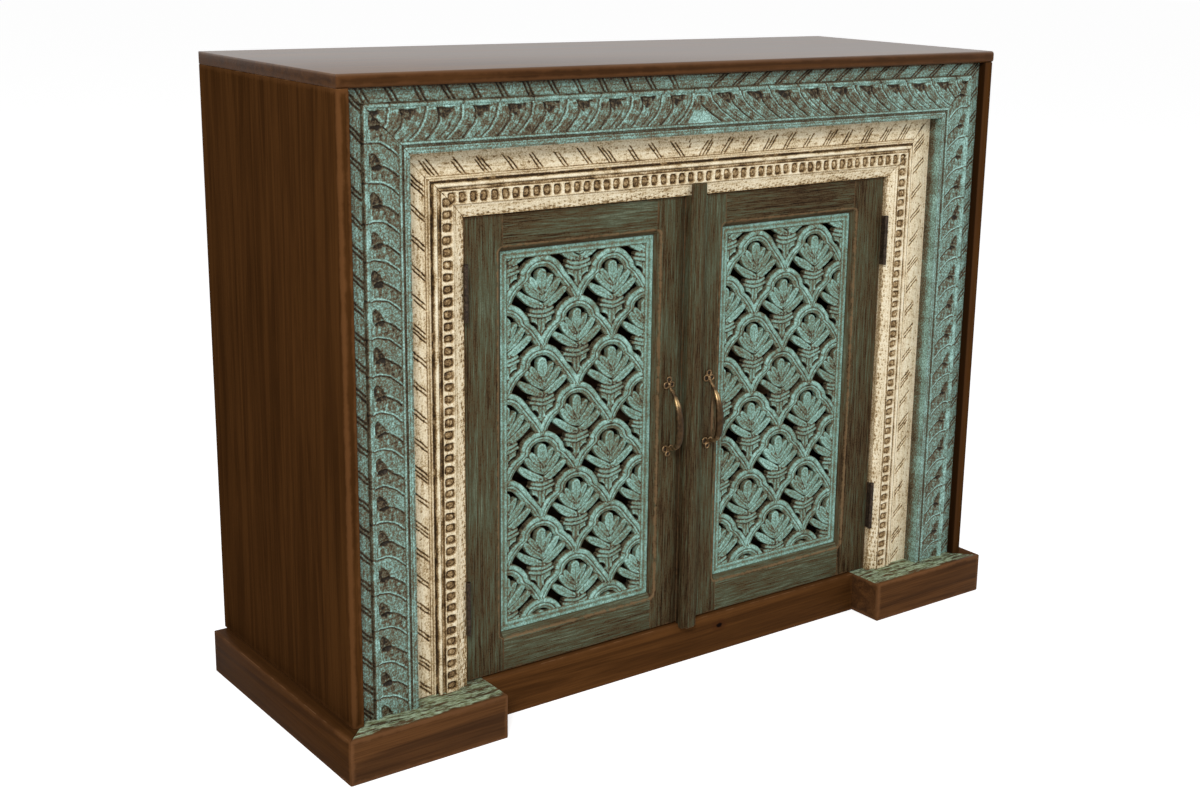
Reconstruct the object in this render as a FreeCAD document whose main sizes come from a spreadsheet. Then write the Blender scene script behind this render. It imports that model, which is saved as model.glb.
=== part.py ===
"""Carved two-door sideboard.

A dark hardwood case stands on a plinth with two proud front blocks. Inside the
case's front edge sit a carved outer frame, a plain face frame and a beaded
inner moulding, all mitred. Two framed doors with pierced lattice panels hang
in the opening on butt hinges; an astragal on the right door covers the joint.

+Z is up, -Y is the front, and the origin is at the centre of the footprint.
Depths are counted back from the front edges of the case boards.
"""
import FreeCAD, Part
import math
import os
import re
import Sketcher
from FreeCAD import Rotation, Vector

doc = FreeCAD.newDocument("carved_sideboard")
sheet = doc.addObject("Spreadsheet::Sheet", "sizes")

SIZES = [
    # the case
    ("case_wide", 1200, "over the side panels"),
    ("case_deep", 430, "front edges to back"),
    ("case_tall", 950, "floor to the top face"),
    ("board_thick", 18, "top, sides, floor board and shelf"),
    ("edge_round", 5, "rounding of the boards' front edges"),
    ("back_thick", 8, "back panel"),
    ("back_lap", 9, "how far the back panel reaches into its rebates"),
    ("shelf_height", 400, "floor to the shelf's underside"),
    ("shelf_set", 90, "shelf's front edge behind the case front"),
    ("cleat_wide", 20, "square cleats under the shelf"),
    # the plinth
    ("plinth_tall", 67, "height of the plinth"),
    ("plinth_proud", 20, "side rails beyond the side panels"),
    ("plinth_short", 6, "side rails end before the case's back"),
    ("block_wide", 250, "front corner blocks"),
    ("block_proud", 28, "blocks in front of the case"),
    ("toe_set", 34, "middle board behind the case front"),
    ("plinth_stock", 38, "thickness of the rails and the middle board"),
    ("glue_block", 45, "corner blocks glued inside the plinth"),
    # the carved outer frame
    ("outer_wide", 88, "width of the carved frame"),
    ("outer_set", 8, "its proudest beads behind the case front"),
    ("outer_strip", 21, "flat outer strip"),
    ("outer_strip_drop", 7, "outer strip below the beads"),
    ("outer_bead", 6, "raised outer bead"),
    ("outer_field", 45, "band of carved leaves"),
    ("outer_field_drop", 2, "leaf band below the beads"),
    ("outer_rib", 4, "rib at the inner side of the leaves"),
    ("outer_quirk", 3, "groove beside the rib"),
    ("outer_lip_drop", 1.5, "inner lip below the beads"),
    # the face frame behind it and the beaded moulding
    ("face_set", 35, "front of the face frame behind the case front"),
    ("face_thick", 30, "thickness of the face frame"),
    ("face_show", 38, "hatched band that shows beside the carved frame"),
    ("bead_wide", 55, "width of the beaded moulding"),
    ("bead_rise", 8, "height of the beaded moulding"),
    ("bead_quirk", 6.5, "outer groove"),
    ("bead_quirk_drop", 6, "depth of the outer groove"),
    ("bead_torus", 6, "plain round beside the groove"),
    ("bead_cut", 4.5, "second groove"),
    ("bead_cut_drop", 4, "depth of the second groove"),
    ("bead_ladder", 19.5, "flat band that holds the small sunk beads"),
    ("bead_step", 1.5, "step down from that band to the rim"),
    # the doors
    ("door_thick", 24, "stiles and rails"),
    ("door_set", 40, "door faces behind the case front"),
    ("jamb_gap", 3, "gap between a door and the face frame, for the hinge"),
    ("head_gap", 2.5, "gap above a door"),
    ("sill_gap", 3, "gap below a door"),
    ("meet_gap", 2.5, "gap between the two doors"),
    ("stile_show", 56, "hinge stile beside its bevel"),
    ("meet_show", 58, "centre line to the bevel of a meeting stile"),
    ("top_rail_show", 45.5, "top rail above its bevel"),
    ("bottom_rail_show", 50, "bottom rail below its bevel"),
    ("bevel", 8, "moulded edge round the panel, wide and deep"),
    ("bevel_corner", 9, "rounded corner of that edge"),
    ("tenon_thick", 8, "tenons on the rails"),
    ("tenon_long", 30, "tenon length"),
    ("tenon_shoulder", 8, "tenon set in from the rail's edges"),
    ("panel_set", 10, "panel face behind the door face"),
    ("panel_thick", 10, "lattice panel"),
    ("panel_play", 0.4, "panel loose in its rebate"),
    # the astragal on the right door
    ("astragal_wide", 28, "cover strip over the doors' joint"),
    ("astragal_rise", 20, "its front before the door faces"),
    ("astragal_over", 18, "its top end over the beaded moulding"),
    ("astragal_under", 5, "its bottom end over the plinth"),
    ("astragal_bead", 6, "bead along each side"),
    ("astragal_bead_drop", 4, "beads below the middle"),
    ("lap_gap", 0.5, "clearance of the ends over what they cover"),
    # the lattice
    ("lattice_border", 13, "flat border round the carving"),
    ("lattice_half", 61.35, "half the width of an arch"),
    ("lattice_row", 64.9, "height from one row of arches to the next"),
    ("lattice_head", 11, "arch tops below the edge of the opening"),
    ("lattice_relief", 3, "arches raised above the leaves"),
    ("lattice_band", 16, "thickness of an arch at its crown"),
    # the hinges
    ("hinge_long", 80, "length of a hinge"),
    ("hinge_high", 63, "upper hinge below the door's top"),
    ("hinge_low", 75, "lower hinge above the door's bottom"),
    ("knuckle_radius", 3.5, "outside of the knuckles"),
    ("pin_radius", 1.5, "hinge pin"),
    ("pin_play", 0.05, "pin in its knuckles"),
    ("pin_head", 1.2, "height of the pin's head"),
    ("leaf_thick", 1.2, "hinge leaf"),
    ("leaf_reach", 30.5, "axis to the far edge of a leaf"),
    ("knuckle_gap", 0.4, "between neighbouring knuckles"),
    ("hinge_gap", 0.3, "hinge parts past each other"),
    ("axis_set", 30.5, "hinge axis behind the case front"),
    ("screw_radius", 1.5, "screw shank"),
    ("screw_head", 3, "screw head radius"),
    ("screw_long", 16, "screw length"),
    ("screw_pitch", 26, "hinge screws apart"),
    ("screw_set", 19, "hinge screws behind the axis"),
    # the pulls
    ("pull_long", 103, "between the two roses of a pull"),
    ("pull_height", 412, "middle of a pull above the floor"),
    ("pull_in", 39, "pull beside the centre line"),
    ("pull_bow", 33, "grip before the door face"),
    ("pull_grip", 3.6, "grip radius at the middle"),
    ("pull_neck", 1.6, "grip radius at the ends"),
    ("rose_ring", 4.3, "radius of the rings of a rose"),
    ("rose_wire", 1.1, "radius of the rings' wire"),
    ("rose_side", 5.4, "side rings beside the middle of a rose"),
    ("rose_tip", 7.2, "outer ring past the middle of a rose"),
    ("rose_boss", 2.3, "radius of the boss under the grip's end"),
    ("tack_radius", 0.8, "tacks through the rings"),
    ("tack_slack", 0.1, "tack heads loose in the rings"),
    ("tack_long", 11, "tack length"),
    # stop and catches
    ("stop_thick", 18, "stop rail behind the header"),
    ("stop_tall", 32, "height of the stop rail"),
    ("stop_lap", 12, "how far it reaches into the opening"),
    ("catch_wide", 45, "magnetic catch"),
    ("catch_tall", 13, "height of a catch"),
    ("catch_deep", 15, "depth of a catch"),
    ("catch_in", 95, "catch beside the centre line"),
    ("strike_thick", 1.4, "plate on the door's back"),
    ("strike_tall", 18, "height of that plate"),
    ("catch_gap", 0.6, "plate to magnet with the door shut"),
]


def fill_sheet():
    """Write each driving dimension with its alias and its meaning."""
    for row, (name, size, note) in enumerate(SIZES, start=1):
        sheet.set(f"A{row}", note)
        sheet.set(f"B{row}", str(size))
        sheet.setAlias(f"B{row}", name)
    doc.recompute()


def bound(text):
    """Point each size's name in an expression at the sheet."""
    return re.sub(r"[a-z_]+", lambda m: "sizes." + m.group(0), text)


def value(text):
    """The number that an expression on the sizes comes to."""
    numbers = re.sub(r"[a-z_]+", lambda m: repr(float(sheet.get(m.group(0)))), text)
    return FreeCAD.Units.Quantity(numbers).Value


fill_sheet()

# planes that several pieces share
HALF = "(case_wide / 2)"
FRONT = "((block_proud - case_deep) / 2)"
BACK = f"({FRONT} + case_deep)"
TOP = "(case_tall - board_thick)"
INSIDE = "(case_wide / 2 - board_thick)"
FRAME_IN = "(outer_wide + face_show + bead_wide)"
OPEN_SIDE = f"({INSIDE} - {FRAME_IN})"
OPEN_TOP = f"({TOP} - {FRAME_IN})"
FACE_FRONT = f"({FRONT} + face_set)"
FACE_BACK = f"({FACE_FRONT} + face_thick)"
BEAD_FRONT = f"({FACE_FRONT} - bead_rise)"
DOOR_FRONT = f"({FRONT} + door_set)"
DOOR_BACK = f"({DOOR_FRONT} + door_thick)"
DOOR_SIDE = f"({OPEN_SIDE} - jamb_gap)"
DOOR_TOP = f"({OPEN_TOP} - head_gap)"
DOOR_LOW = "(plinth_tall + sill_gap)"
PANEL_FRONT = f"({DOOR_FRONT} + panel_set)"
PANEL_BACK = f"({PANEL_FRONT} + panel_thick)"
OPEN_LOW = f"({DOOR_LOW} + bottom_rail_show)"
OPEN_HIGH = f"({DOOR_TOP} - top_rail_show)"
OPEN_OUT = f"({DOOR_SIDE} - stile_show)"
ASTRAGAL = "(astragal_wide / 2)"
TOE_BACK = f"({FRONT} + toe_set + plinth_stock)"
AXIS_SIDE = f"({DOOR_SIDE} + jamb_gap / 2)"
AXIS_DEPTH = f"({FRONT} + axis_set)"

kept = []


def keep(piece, label):
    """Name a finished sub-part and list it for writing."""
    piece.Label = label
    kept.append(piece)
    return piece


def box(name, x, y, z):
    """A plain board between the two faces given along each axis."""
    board = doc.addObject("Part::Box", name)
    for side, axis, (low, high) in zip(("Length", "Width", "Height"), "xyz", (x, y, z)):
        board.setExpression(side, bound(f"({high}) - ({low})"))
        board.setExpression(f"Placement.Base.{axis}", bound(low))
    return board


def cylinder(name, radius, height, x, y, z, turn=None):
    """A round bar that starts at the given point, along Z or turned by a rotation."""
    bar = doc.addObject("Part::Cylinder", name)
    bar.setExpression("Radius", bound(radius))
    bar.setExpression("Height", bound(height))
    if turn is not None:
        bar.Placement = FreeCAD.Placement(Vector(0, 0, 0), turn)
    for axis, place in zip("xyz", (x, y, z)):
        bar.setExpression(f"Placement.Base.{axis}", bound(place))
    return bar


def cut(name, base, tool):
    """The base without the tool."""
    result = doc.addObject("Part::Cut", name)
    result.Base = base
    result.Tool = tool
    return result


def fuse(name, shapes):
    """Several shapes joined into one solid."""
    result = doc.addObject("Part::MultiFuse", name)
    result.Shapes = shapes
    return result


def group(name, shapes):
    """Several like pieces that stay separate solids."""
    result = doc.addObject("Part::Compound", name)
    result.Links = shapes
    return result


def sides(hand, low, high):
    """The x range of a piece, mirrored for the left hand (-1)."""
    if hand < 0:
        return (f"-({high})", f"-({low})")
    return (low, high)


def hand_name(hand):
    return "left" if hand < 0 else "right"


def plane_of(body, role):
    """The body's own origin plane with this role."""
    return next(feature for feature in body.Origin.OriginFeatures if feature.Role == role)


def draw(sketch, points):
    """Close a polygon through the points and bind every corner to the sizes."""
    count = len(points)
    spots = [Vector(value(u), value(v), 0) for u, v in points]
    for index in range(count):
        sketch.addGeometry(Part.LineSegment(spots[index], spots[(index + 1) % count]), False)
    first = sketch.GeometryCount - count
    for index in range(count):
        line = first + index
        following = first + (index + 1) % count
        sketch.addConstraint(Sketcher.Constraint("Coincident", line, 2, following, 1))
    for index, (u, v) in enumerate(points):
        line = first + index
        for kind, text, number in (("DistanceX", u, spots[index].x), ("DistanceY", v, spots[index].y)):
            place = sketch.addConstraint(Sketcher.Constraint(kind, -1, 1, line, 1, number))
            sketch.setExpression(f"Constraints[{place}]", bound(text))


def new_sketch(body, role, name, lift="0"):
    """A sketch on one of the body's origin planes, lifted off it by an offset."""
    sketch = body.newObject("Sketcher::SketchObject", name)
    sketch.AttachmentSupport = [(plane_of(body, role), "")]
    sketch.MapMode = "FlatFace"
    sketch.setExpression("AttachmentOffset.Base.z", bound(lift))
    return sketch


def prism(name, role, points, low, high):
    """A body whose outline on an origin plane is padded between two offsets."""
    body = doc.addObject("PartDesign::Body", name)
    sketch = new_sketch(body, role, name + "_outline", low)
    draw(sketch, points)
    pad = body.newObject("PartDesign::Pad", name + "_pad")
    pad.Profile = sketch
    pad.setExpression("Length", bound(f"({high}) - ({low})"))
    body.Tip = pad
    return body


def through_cut(body, role, name, outlines):
    """Cut outlines through the whole body, both ways from an origin plane."""
    doc.recompute()
    volume = body.Tip.Shape.Volume
    sketch = new_sketch(body, role, name + "_outline")
    for points in outlines:
        draw(sketch, points)
    pocket = body.newObject("PartDesign::Pocket", name)
    pocket.Profile = sketch
    pocket.Type = "ThroughAll"
    pocket.Midplane = True
    body.Tip = pocket
    doc.recompute()
    if pocket.Shape.Volume > volume - TOUCH:
        raise RuntimeError(f"{name} cut nothing")


def round_edges(body, name, radius, wanted):
    """Round the edges of the body's tip that pass a test on their ends."""
    doc.recompute()
    base = body.Tip
    names = [
        f"Edge{index}"
        for index, edge in enumerate(base.Shape.Edges, start=1)
        if wanted(edge)
    ]
    fillet = body.newObject("PartDesign::Fillet", name)
    fillet.Base = (base, names)
    fillet.setExpression("Radius", bound(radius))
    body.Tip = fillet


# two places that agree this closely are the same place
TOUCH = 1e-4


def along(edge, axis, places):
    """True for an edge along an axis whose other coordinates are the ones given."""
    extent = edge.BoundBox
    reach = {"x": extent.XLength, "y": extent.YLength, "z": extent.ZLength}
    if reach[axis] < max(reach.values()):
        return False
    middle = {"x": extent.Center.x, "y": extent.Center.y, "z": extent.Center.z}
    return all(abs(middle[key] - place) < TOUCH for key, place in places.items())


def case_boards():
    """Top, sides, floor board, back, shelf and its cleats."""
    section = [
        (FRONT, TOP), (BACK, TOP), (BACK, "case_tall"), (FRONT, "case_tall"),
    ]
    top = prism("top_body", "YZ_Plane", section, f"-{HALF}", HALF)
    round_edges(top, "top_rounding", "edge_round", lambda edge: along(edge, "x", {"y": value(FRONT)}))
    rebate = box(
        "top_rebate",
        (f"-({INSIDE} + back_lap)", f"{INSIDE} + back_lap"),
        (f"{BACK} - back_thick", BACK),
        (TOP, f"{TOP} + back_lap"),
    )
    keep(cut("top", top, rebate), "top_panel")

    for hand in (-1, 1):
        name = hand_name(hand)
        x = sides(hand, INSIDE, HALF)
        outline = [(x[0], FRONT), (x[1], FRONT), (x[1], BACK), (x[0], BACK)]
        side = prism(f"{name}_side_body", "XY_Plane", outline, "plinth_tall", TOP)
        round_edges(
            side,
            f"{name}_side_rounding",
            "edge_round",
            lambda edge: along(edge, "z", {"y": value(FRONT)}),
        )
        slot = box(
            f"{name}_side_rebate",
            sides(hand, INSIDE, f"{INSIDE} + back_lap"),
            (f"{BACK} - back_thick", BACK),
            ("plinth_tall", TOP),
        )
        keep(cut(f"{name}_side", side, slot), f"side_panel_{name}")

    width = (f"-{INSIDE}", INSIDE)
    back_face = f"{BACK} - back_thick"
    floor_top = "plinth_tall + board_thick"
    keep(box("floor_board", width, (FACE_BACK, back_face), ("plinth_tall", floor_top)), "bottom_panel")
    keep(
        box(
            "back_board",
            (f"-({INSIDE} + back_lap)", f"{INSIDE} + back_lap"),
            (back_face, BACK),
            ("plinth_tall", f"{TOP} + back_lap"),
        ),
        "back_panel",
    )
    shelf_front = f"{FRONT} + shelf_set"
    shelf_top = "shelf_height + board_thick"
    keep(box("shelf_board", width, (shelf_front, back_face), ("shelf_height", shelf_top)), "shelf")
    cleat_z = ("shelf_height - cleat_wide", "shelf_height")
    rear = f"{back_face} - cleat_wide"
    for hand in (-1, 1):
        x = sides(hand, f"{INSIDE} - cleat_wide", INSIDE)
        name = hand_name(hand)
        keep(box(f"{name}_cleat", x, (shelf_front, back_face), cleat_z), f"shelf_cleat_{name}")
    middle = (f"-({INSIDE} - cleat_wide)", f"{INSIDE} - cleat_wide")
    keep(box("rear_cleat", middle, (rear, back_face), cleat_z), "shelf_cleat_back")


def plinth():
    """Mitred side rails and front blocks, middle board, rear rail and glue blocks."""
    out = f"({HALF} + plinth_proud)"
    inner = f"({out} - plinth_stock)"
    lip = f"({FRONT} - block_proud)"
    mitre = f"({lip} + plinth_stock)"
    rear = f"({BACK} - plinth_short)"
    block_in = f"({out} - block_wide)"
    tall = ("0", "plinth_tall")
    for hand in (-1, 1):
        name = hand_name(hand)
        flip = "-1 * " if hand < 0 else ""
        rail = [(out, lip), (inner, mitre), (inner, rear), (out, rear)]
        block = [(out, lip), (block_in, lip), (block_in, TOE_BACK), (inner, TOE_BACK), (inner, mitre)]
        rail = [(flip + u, v) for u, v in rail]
        block = [(flip + u, v) for u, v in block]
        keep(prism(f"{name}_rail_body", "XY_Plane", rail, *tall), f"plinth_side_{name}")
        keep(prism(f"{name}_block_body", "XY_Plane", block, *tall), f"plinth_block_{name}")
    keep(
        box("toe_board", (f"-{block_in}", block_in), (f"{FRONT} + toe_set", TOE_BACK), tall),
        "plinth_front_board",
    )
    keep(
        box("rear_rail", (f"-{inner}", inner), (f"{rear} - plinth_stock", rear), tall),
        "plinth_back_board",
    )
    blocks = []
    for hand in (-1, 1):
        x = sides(hand, f"{inner} - glue_block", inner)
        back_y = (f"{rear} - plinth_stock - glue_block", f"{rear} - plinth_stock")
        front_y = (TOE_BACK, f"{TOE_BACK} + glue_block")
        blocks.append(box(f"{hand_name(hand)}_rear_glue", x, back_y, tall))
        blocks.append(box(f"{hand_name(hand)}_front_glue", x, front_y, tall))
    keep(group("glue_blocks", blocks), "plinth_glue_blocks")


def mitred_frame(name, label, outer, profile):
    """Two jambs and a header of one section, mitred at the top corners.

    outer is how far the section starts in from the case's inner faces. The profile's
    points are distances in from there and depths behind the case front.
    """
    side = f"({INSIDE} - {outer})"
    head = f"({TOP} - {outer})"
    reach = profile[-1][0]
    for hand in (-1, 1):
        hand_word = hand_name(hand)
        sign = "-1 *" if hand < 0 else "1 *"
        outline = [(f"{sign} ({side} - ({w}))", f"{FRONT} + {d}") for w, d in profile]
        jamb = prism(f"{name}_{hand_word}_body", "XY_Plane", outline, "plinth_tall", head)
        corner = [
            (f"{sign} {side}", head),
            (f"{sign} ({side} - ({reach}))", f"{head} - ({reach})"),
            (f"{sign} ({side} - ({reach}))", head),
        ]
        through_cut(jamb, "XZ_Plane", f"{name}_{hand_word}_mitre", [corner])
        keep(jamb, f"{label}_{hand_word}")
    section = [(f"{FRONT} + {d}", f"{head} - ({w})") for w, d in profile]
    header = prism(f"{name}_header_body", "YZ_Plane", section, f"-{side}", side)
    ends = []
    for sign in ("-1 *", "1 *"):
        ends.append([
            (f"{sign} {side}", head),
            (f"{sign} ({side} - ({reach}))", f"{head} - ({reach})"),
            (f"{sign} {side}", f"{head} - ({reach})"),
        ])
    through_cut(header, "XZ_Plane", f"{name}_header_mitres", ends)
    keep(header, f"{label}_header")


def frames():
    """Carved outer frame, plain face frame and beaded inner moulding."""
    strip = "outer_set + outer_strip_drop"
    field = "outer_set + outer_field_drop"
    bead = "outer_strip + outer_bead"
    leaves = f"{bead} + outer_field"
    rib = f"{leaves} + outer_rib"
    quirk = f"{rib} + outer_quirk"
    lip = "outer_set + outer_lip_drop"
    mitred_frame("carved", "outer_frame", "0", [
        ("0", "face_set"), ("0", strip), ("outer_strip", strip), ("outer_strip", "outer_set"),
        (bead, "outer_set"), (bead, field), (leaves, field), (leaves, "outer_set"),
        (rib, "outer_set"), (rib, f"{lip} + outer_lip_drop"), (quirk, f"{lip} + outer_lip_drop"),
        (quirk, lip), ("outer_wide", lip), ("outer_wide", "face_set"),
    ])
    mitred_frame("plain", "face_frame", "0", [
        ("0", "face_set + face_thick"), ("0", "face_set"),
        (FRAME_IN, "face_set"), (FRAME_IN, "face_set + face_thick"),
    ])
    proud = "face_set - bead_rise"
    torus = "bead_quirk + bead_torus"
    ladder = f"{torus} + bead_cut"
    rim = f"{ladder} + bead_ladder"
    mitred_frame("beaded", "bead_moulding", "(outer_wide + face_show)", [
        ("0", "face_set"), ("0", f"{proud} + bead_cut_drop"), ("bead_quirk", f"{proud} + bead_quirk_drop"),
        ("bead_quirk", proud), (torus, proud), (torus, f"{proud} + bead_cut_drop"),
        (ladder, f"{proud} + bead_cut_drop"), (ladder, proud), (rim, proud),
        (rim, f"{proud} + bead_step"), ("bead_wide", "face_set - bead_step / 2"), ("bead_wide", "face_set"),
    ])


def stop_and_catches():
    """Rail behind the header that the doors close on, with two magnetic catches."""
    low = f"({OPEN_TOP} - stop_lap)"
    keep(
        box(
            "stop_board",
            (f"-{OPEN_SIDE}", OPEN_SIDE),
            (FACE_BACK, f"{FACE_BACK} + stop_thick"),
            (low, f"{low} + stop_tall"),
        ),
        "door_stop_rail",
    )
    magnets = []
    for hand in (-1, 1):
        x = sides(hand, "catch_in - catch_wide / 2", "catch_in + catch_wide / 2")
        face = f"{DOOR_BACK} + strike_thick + catch_gap"
        magnets.append(box(
            f"{hand_name(hand)}_catch",
            x,
            (face, f"{face} + catch_deep"),
            (f"{low} - catch_tall", low),
        ))
    keep(group("catches", magnets), "magnetic_catches")


def rounded_rectangle(x, z, radius, y):
    """A closed wire at depth y with rounded corners."""
    low, high = (min(x), min(z)), (max(x), max(z))
    arcs = []
    for corner_x, corner_z, turn in (
        (high[0] - radius, high[1] - radius, 0),
        (low[0] + radius, high[1] - radius, 1),
        (low[0] + radius, low[1] + radius, 2),
        (high[0] - radius, low[1] + radius, 3),
    ):
        spots = []
        for part in (0, 0.5, 1):
            angle = (turn + part) * math.pi / 2
            spots.append(Vector(
                corner_x + radius * math.cos(angle), y, corner_z + radius * math.sin(angle)
            ))
        arcs.append(Part.Arc(*spots).toShape())
    edges = []
    for index, arc in enumerate(arcs):
        following = arcs[(index + 1) % len(arcs)]
        edges += [arc, Part.LineSegment(arc.Vertexes[-1].Point, following.Vertexes[0].Point).toShape()]
    return Part.Wire(edges)


def door_hollow(hand):
    """What the door frame lacks: the bevelled sight opening and the panel's rebate."""
    name = hand_name(hand)
    near, far = "meet_show", OPEN_OUT
    x = [hand * value(near), hand * value(far)]
    z = [value(OPEN_LOW), value(OPEN_HIGH)]
    bevel = value("bevel")
    face = value(DOOR_FRONT)
    sight_x = [min(x) + bevel, max(x) - bevel]
    sight_z = [z[0] + bevel, z[1] - bevel]
    corner = value("bevel_corner")
    mouth = rounded_rectangle(x, z, corner, face)
    sight = rounded_rectangle(sight_x, sight_z, corner - bevel, face + bevel)
    rout = doc.addObject("Part::Feature", f"{name}_rout")
    rout.Shape = Part.makeLoft([mouth, sight], True, True)
    hole = box(
        f"{name}_sight",
        sides(hand, f"{near} + bevel", f"{far} - bevel"),
        (f"{DOOR_FRONT} + bevel / 2", DOOR_BACK),
        (f"{OPEN_LOW} + bevel", f"{OPEN_HIGH} - bevel"),
    )
    room = box(
        f"{name}_rebate",
        sides(hand, near, far),
        (PANEL_FRONT, DOOR_BACK),
        (OPEN_LOW, OPEN_HIGH),
    )
    return fuse(f"{name}_hollow", [rout, hole, room])


def hinge_levels():
    """The lower ends of the two hinges on each door."""
    upper = f"({DOOR_TOP} - hinge_high - hinge_long)"
    lower = f"({DOOR_LOW} + hinge_low)"
    return {"top": upper, "bottom": lower}


def door_frame(hand, screws, tacks):
    """Stiles and rails with mortise and tenon joints, drilled for their screws and tacks."""
    name = hand_name(hand)
    hollow = door_hollow(hand)
    meet = ASTRAGAL + " * -1" if hand > 0 else f"{ASTRAGAL} + meet_gap"
    near, far = "meet_show", OPEN_OUT
    near, far = f"({near} + bevel)", f"({far} - bevel)"
    y = (DOOR_FRONT, DOOR_BACK)
    tall = (DOOR_LOW, DOOR_TOP)
    middle = f"({DOOR_FRONT} + door_thick / 2)"
    tongue_y = (f"{middle} - tenon_thick / 2", f"{middle} + tenon_thick / 2")
    rails = {
        "top": (OPEN_HIGH, DOOR_TOP, (f"{OPEN_HIGH} - bevel", DOOR_TOP)),
        "bottom": (DOOR_LOW, OPEN_LOW, (DOOR_LOW, f"{OPEN_LOW} + bevel")),
    }
    tongues = {}
    for level, (low, high, rail_z) in rails.items():
        z = (f"{low} + tenon_shoulder", f"{high} - tenon_shoulder")
        inner = box(
            f"{name}_{level}_meet_tenon",
            sides(hand, f"{near} - tenon_long", near),
            tongue_y,
            z,
        )
        outer = box(
            f"{name}_{level}_hinge_tenon",
            sides(hand, far, f"{far} + tenon_long"),
            tongue_y,
            z,
        )
        tongues[level] = (inner, outer)
        board = box(f"{name}_{level}_rail_board", sides(hand, near, far), y, rail_z)
        moulded = cut(f"{name}_{level}_rail_moulded", board, hollow)
        rail = fuse(f"{name}_{level}_rail", [moulded, inner, outer])
        keep(rail, f"{name}_door_{level}_rail")

    meeting = box(f"{name}_meeting_board", sides(hand, meet, near), y, tall)
    mortises = fuse(
        f"{name}_meeting_cuts",
        [hollow, tongues["top"][0], tongues["bottom"][0], tacks],
    )
    keep(cut(f"{name}_meeting_stile", meeting, mortises), f"{name}_door_meeting_stile")

    hinge = box(f"{name}_hinge_board", sides(hand, far, DOOR_SIDE), y, tall)
    sockets = fuse(
        f"{name}_hinge_cuts",
        [hollow, tongues["top"][1], tongues["bottom"][1]] + screws,
    )
    keep(cut(f"{name}_hinge_stile", hinge, sockets), f"{name}_door_hinge_stile")


def panel_beads(hand):
    """Four strips that hold the lattice panel in its rebate."""
    name = hand_name(hand)
    near, far = "meet_show", OPEN_OUT
    y = (PANEL_BACK, DOOR_BACK)
    strips = []
    for word, low, high in (("meet", near, f"{near} + bevel"), ("hinge", f"{far} - bevel", far)):
        strips.append(box(f"{name}_{word}_strip", sides(hand, low, high), y, (OPEN_LOW, OPEN_HIGH)))
    for word, low, high in (
        ("low", OPEN_LOW, f"{OPEN_LOW} + bevel"),
        ("high", f"{OPEN_HIGH} - bevel", OPEN_HIGH),
    ):
        x = sides(hand, f"{near} + bevel", f"{far} - bevel")
        strips.append(box(f"{name}_{word}_strip", x, y, (low, high)))
    keep(group(f"{name}_strips", strips), f"{name}_door_panel_beads")


# an arch of the lattice, in shares of half its width and of the row height
NOTCH_SHARES = (0.60, -0.45)
LEG_SHARES = (0.86, -0.62)
FOOT_SHARES = (1.0, -0.88)
HEEL_SHARES = (1.0, -1.06)
INNER_LEG_SHARES = (0.57, -0.70)
INNER_SHOULDER_SHARES = (0.30, -0.38)
# the holes of one leaf sprig, right half, in the same shares
HOLE_SHARES = (
    ((0.08, -0.34), (0.20, -0.38), (0.36, -0.56), (0.24, -0.62), (0.14, -0.50)),
    ((0.44, -0.70), (0.64, -0.86), (0.34, -0.94)),
    ((0.70, -0.93), (0.78, -1.00), (0.58, -1.12), (0.42, -1.34), (0.30, -1.22), (0.34, -1.10)),
    ((0.10, -1.60), (0.12, -1.47), (0.24, -1.43), (0.20, -1.55)),
)


def placed(shares, centre, crown, depth):
    """A point of an arch or a hole in the panel."""
    return Vector(
        centre + shares[0] * value("lattice_half"), depth, crown + shares[1] * value("lattice_row")
    )


def arch_band(centre, crown, front, back):
    """One ogee arch: a round head with a shoulder, on two spread legs."""
    def at(shares, hand):
        return placed((hand * shares[0], shares[1]), centre, crown, front)

    top = placed((0, 0), centre, crown, front)
    inner_top = Vector(centre, front, crown - value("lattice_band"))
    head = Part.Arc(at(NOTCH_SHARES, -1), top, at(NOTCH_SHARES, 1)).toShape()
    right = [Part.Arc(at(NOTCH_SHARES, 1), at(LEG_SHARES, 1), at(FOOT_SHARES, 1)).toShape()]
    left = [Part.Arc(at(FOOT_SHARES, -1), at(LEG_SHARES, -1), at(NOTCH_SHARES, -1)).toShape()]
    path = [
        at(FOOT_SHARES, 1), at(HEEL_SHARES, 1), at(INNER_LEG_SHARES, 1),
        at(INNER_SHOULDER_SHARES, 1), inner_top, at(INNER_SHOULDER_SHARES, -1),
        at(INNER_LEG_SHARES, -1), at(HEEL_SHARES, -1), at(FOOT_SHARES, -1),
    ]
    lines = [Part.LineSegment(a, b).toShape() for a, b in zip(path, path[1:])]
    outline = Part.Wire([head] + right + lines + left)
    return Part.Face(outline).extrude(Vector(0, back - front, 0))


def leaf_holes(centre, crown, front, back):
    """The openings left round one sprig of leaves."""
    holes = []
    for hand in (-1, 1):
        for shares in HOLE_SHARES:
            spots = [placed((hand * u, w), centre, crown, front) for u, w in shares]
            outline = Part.makePolygon(spots + spots[:1])
            holes.append(Part.Face(outline).extrude(Vector(0, back - front, 0)))
    return holes


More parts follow.
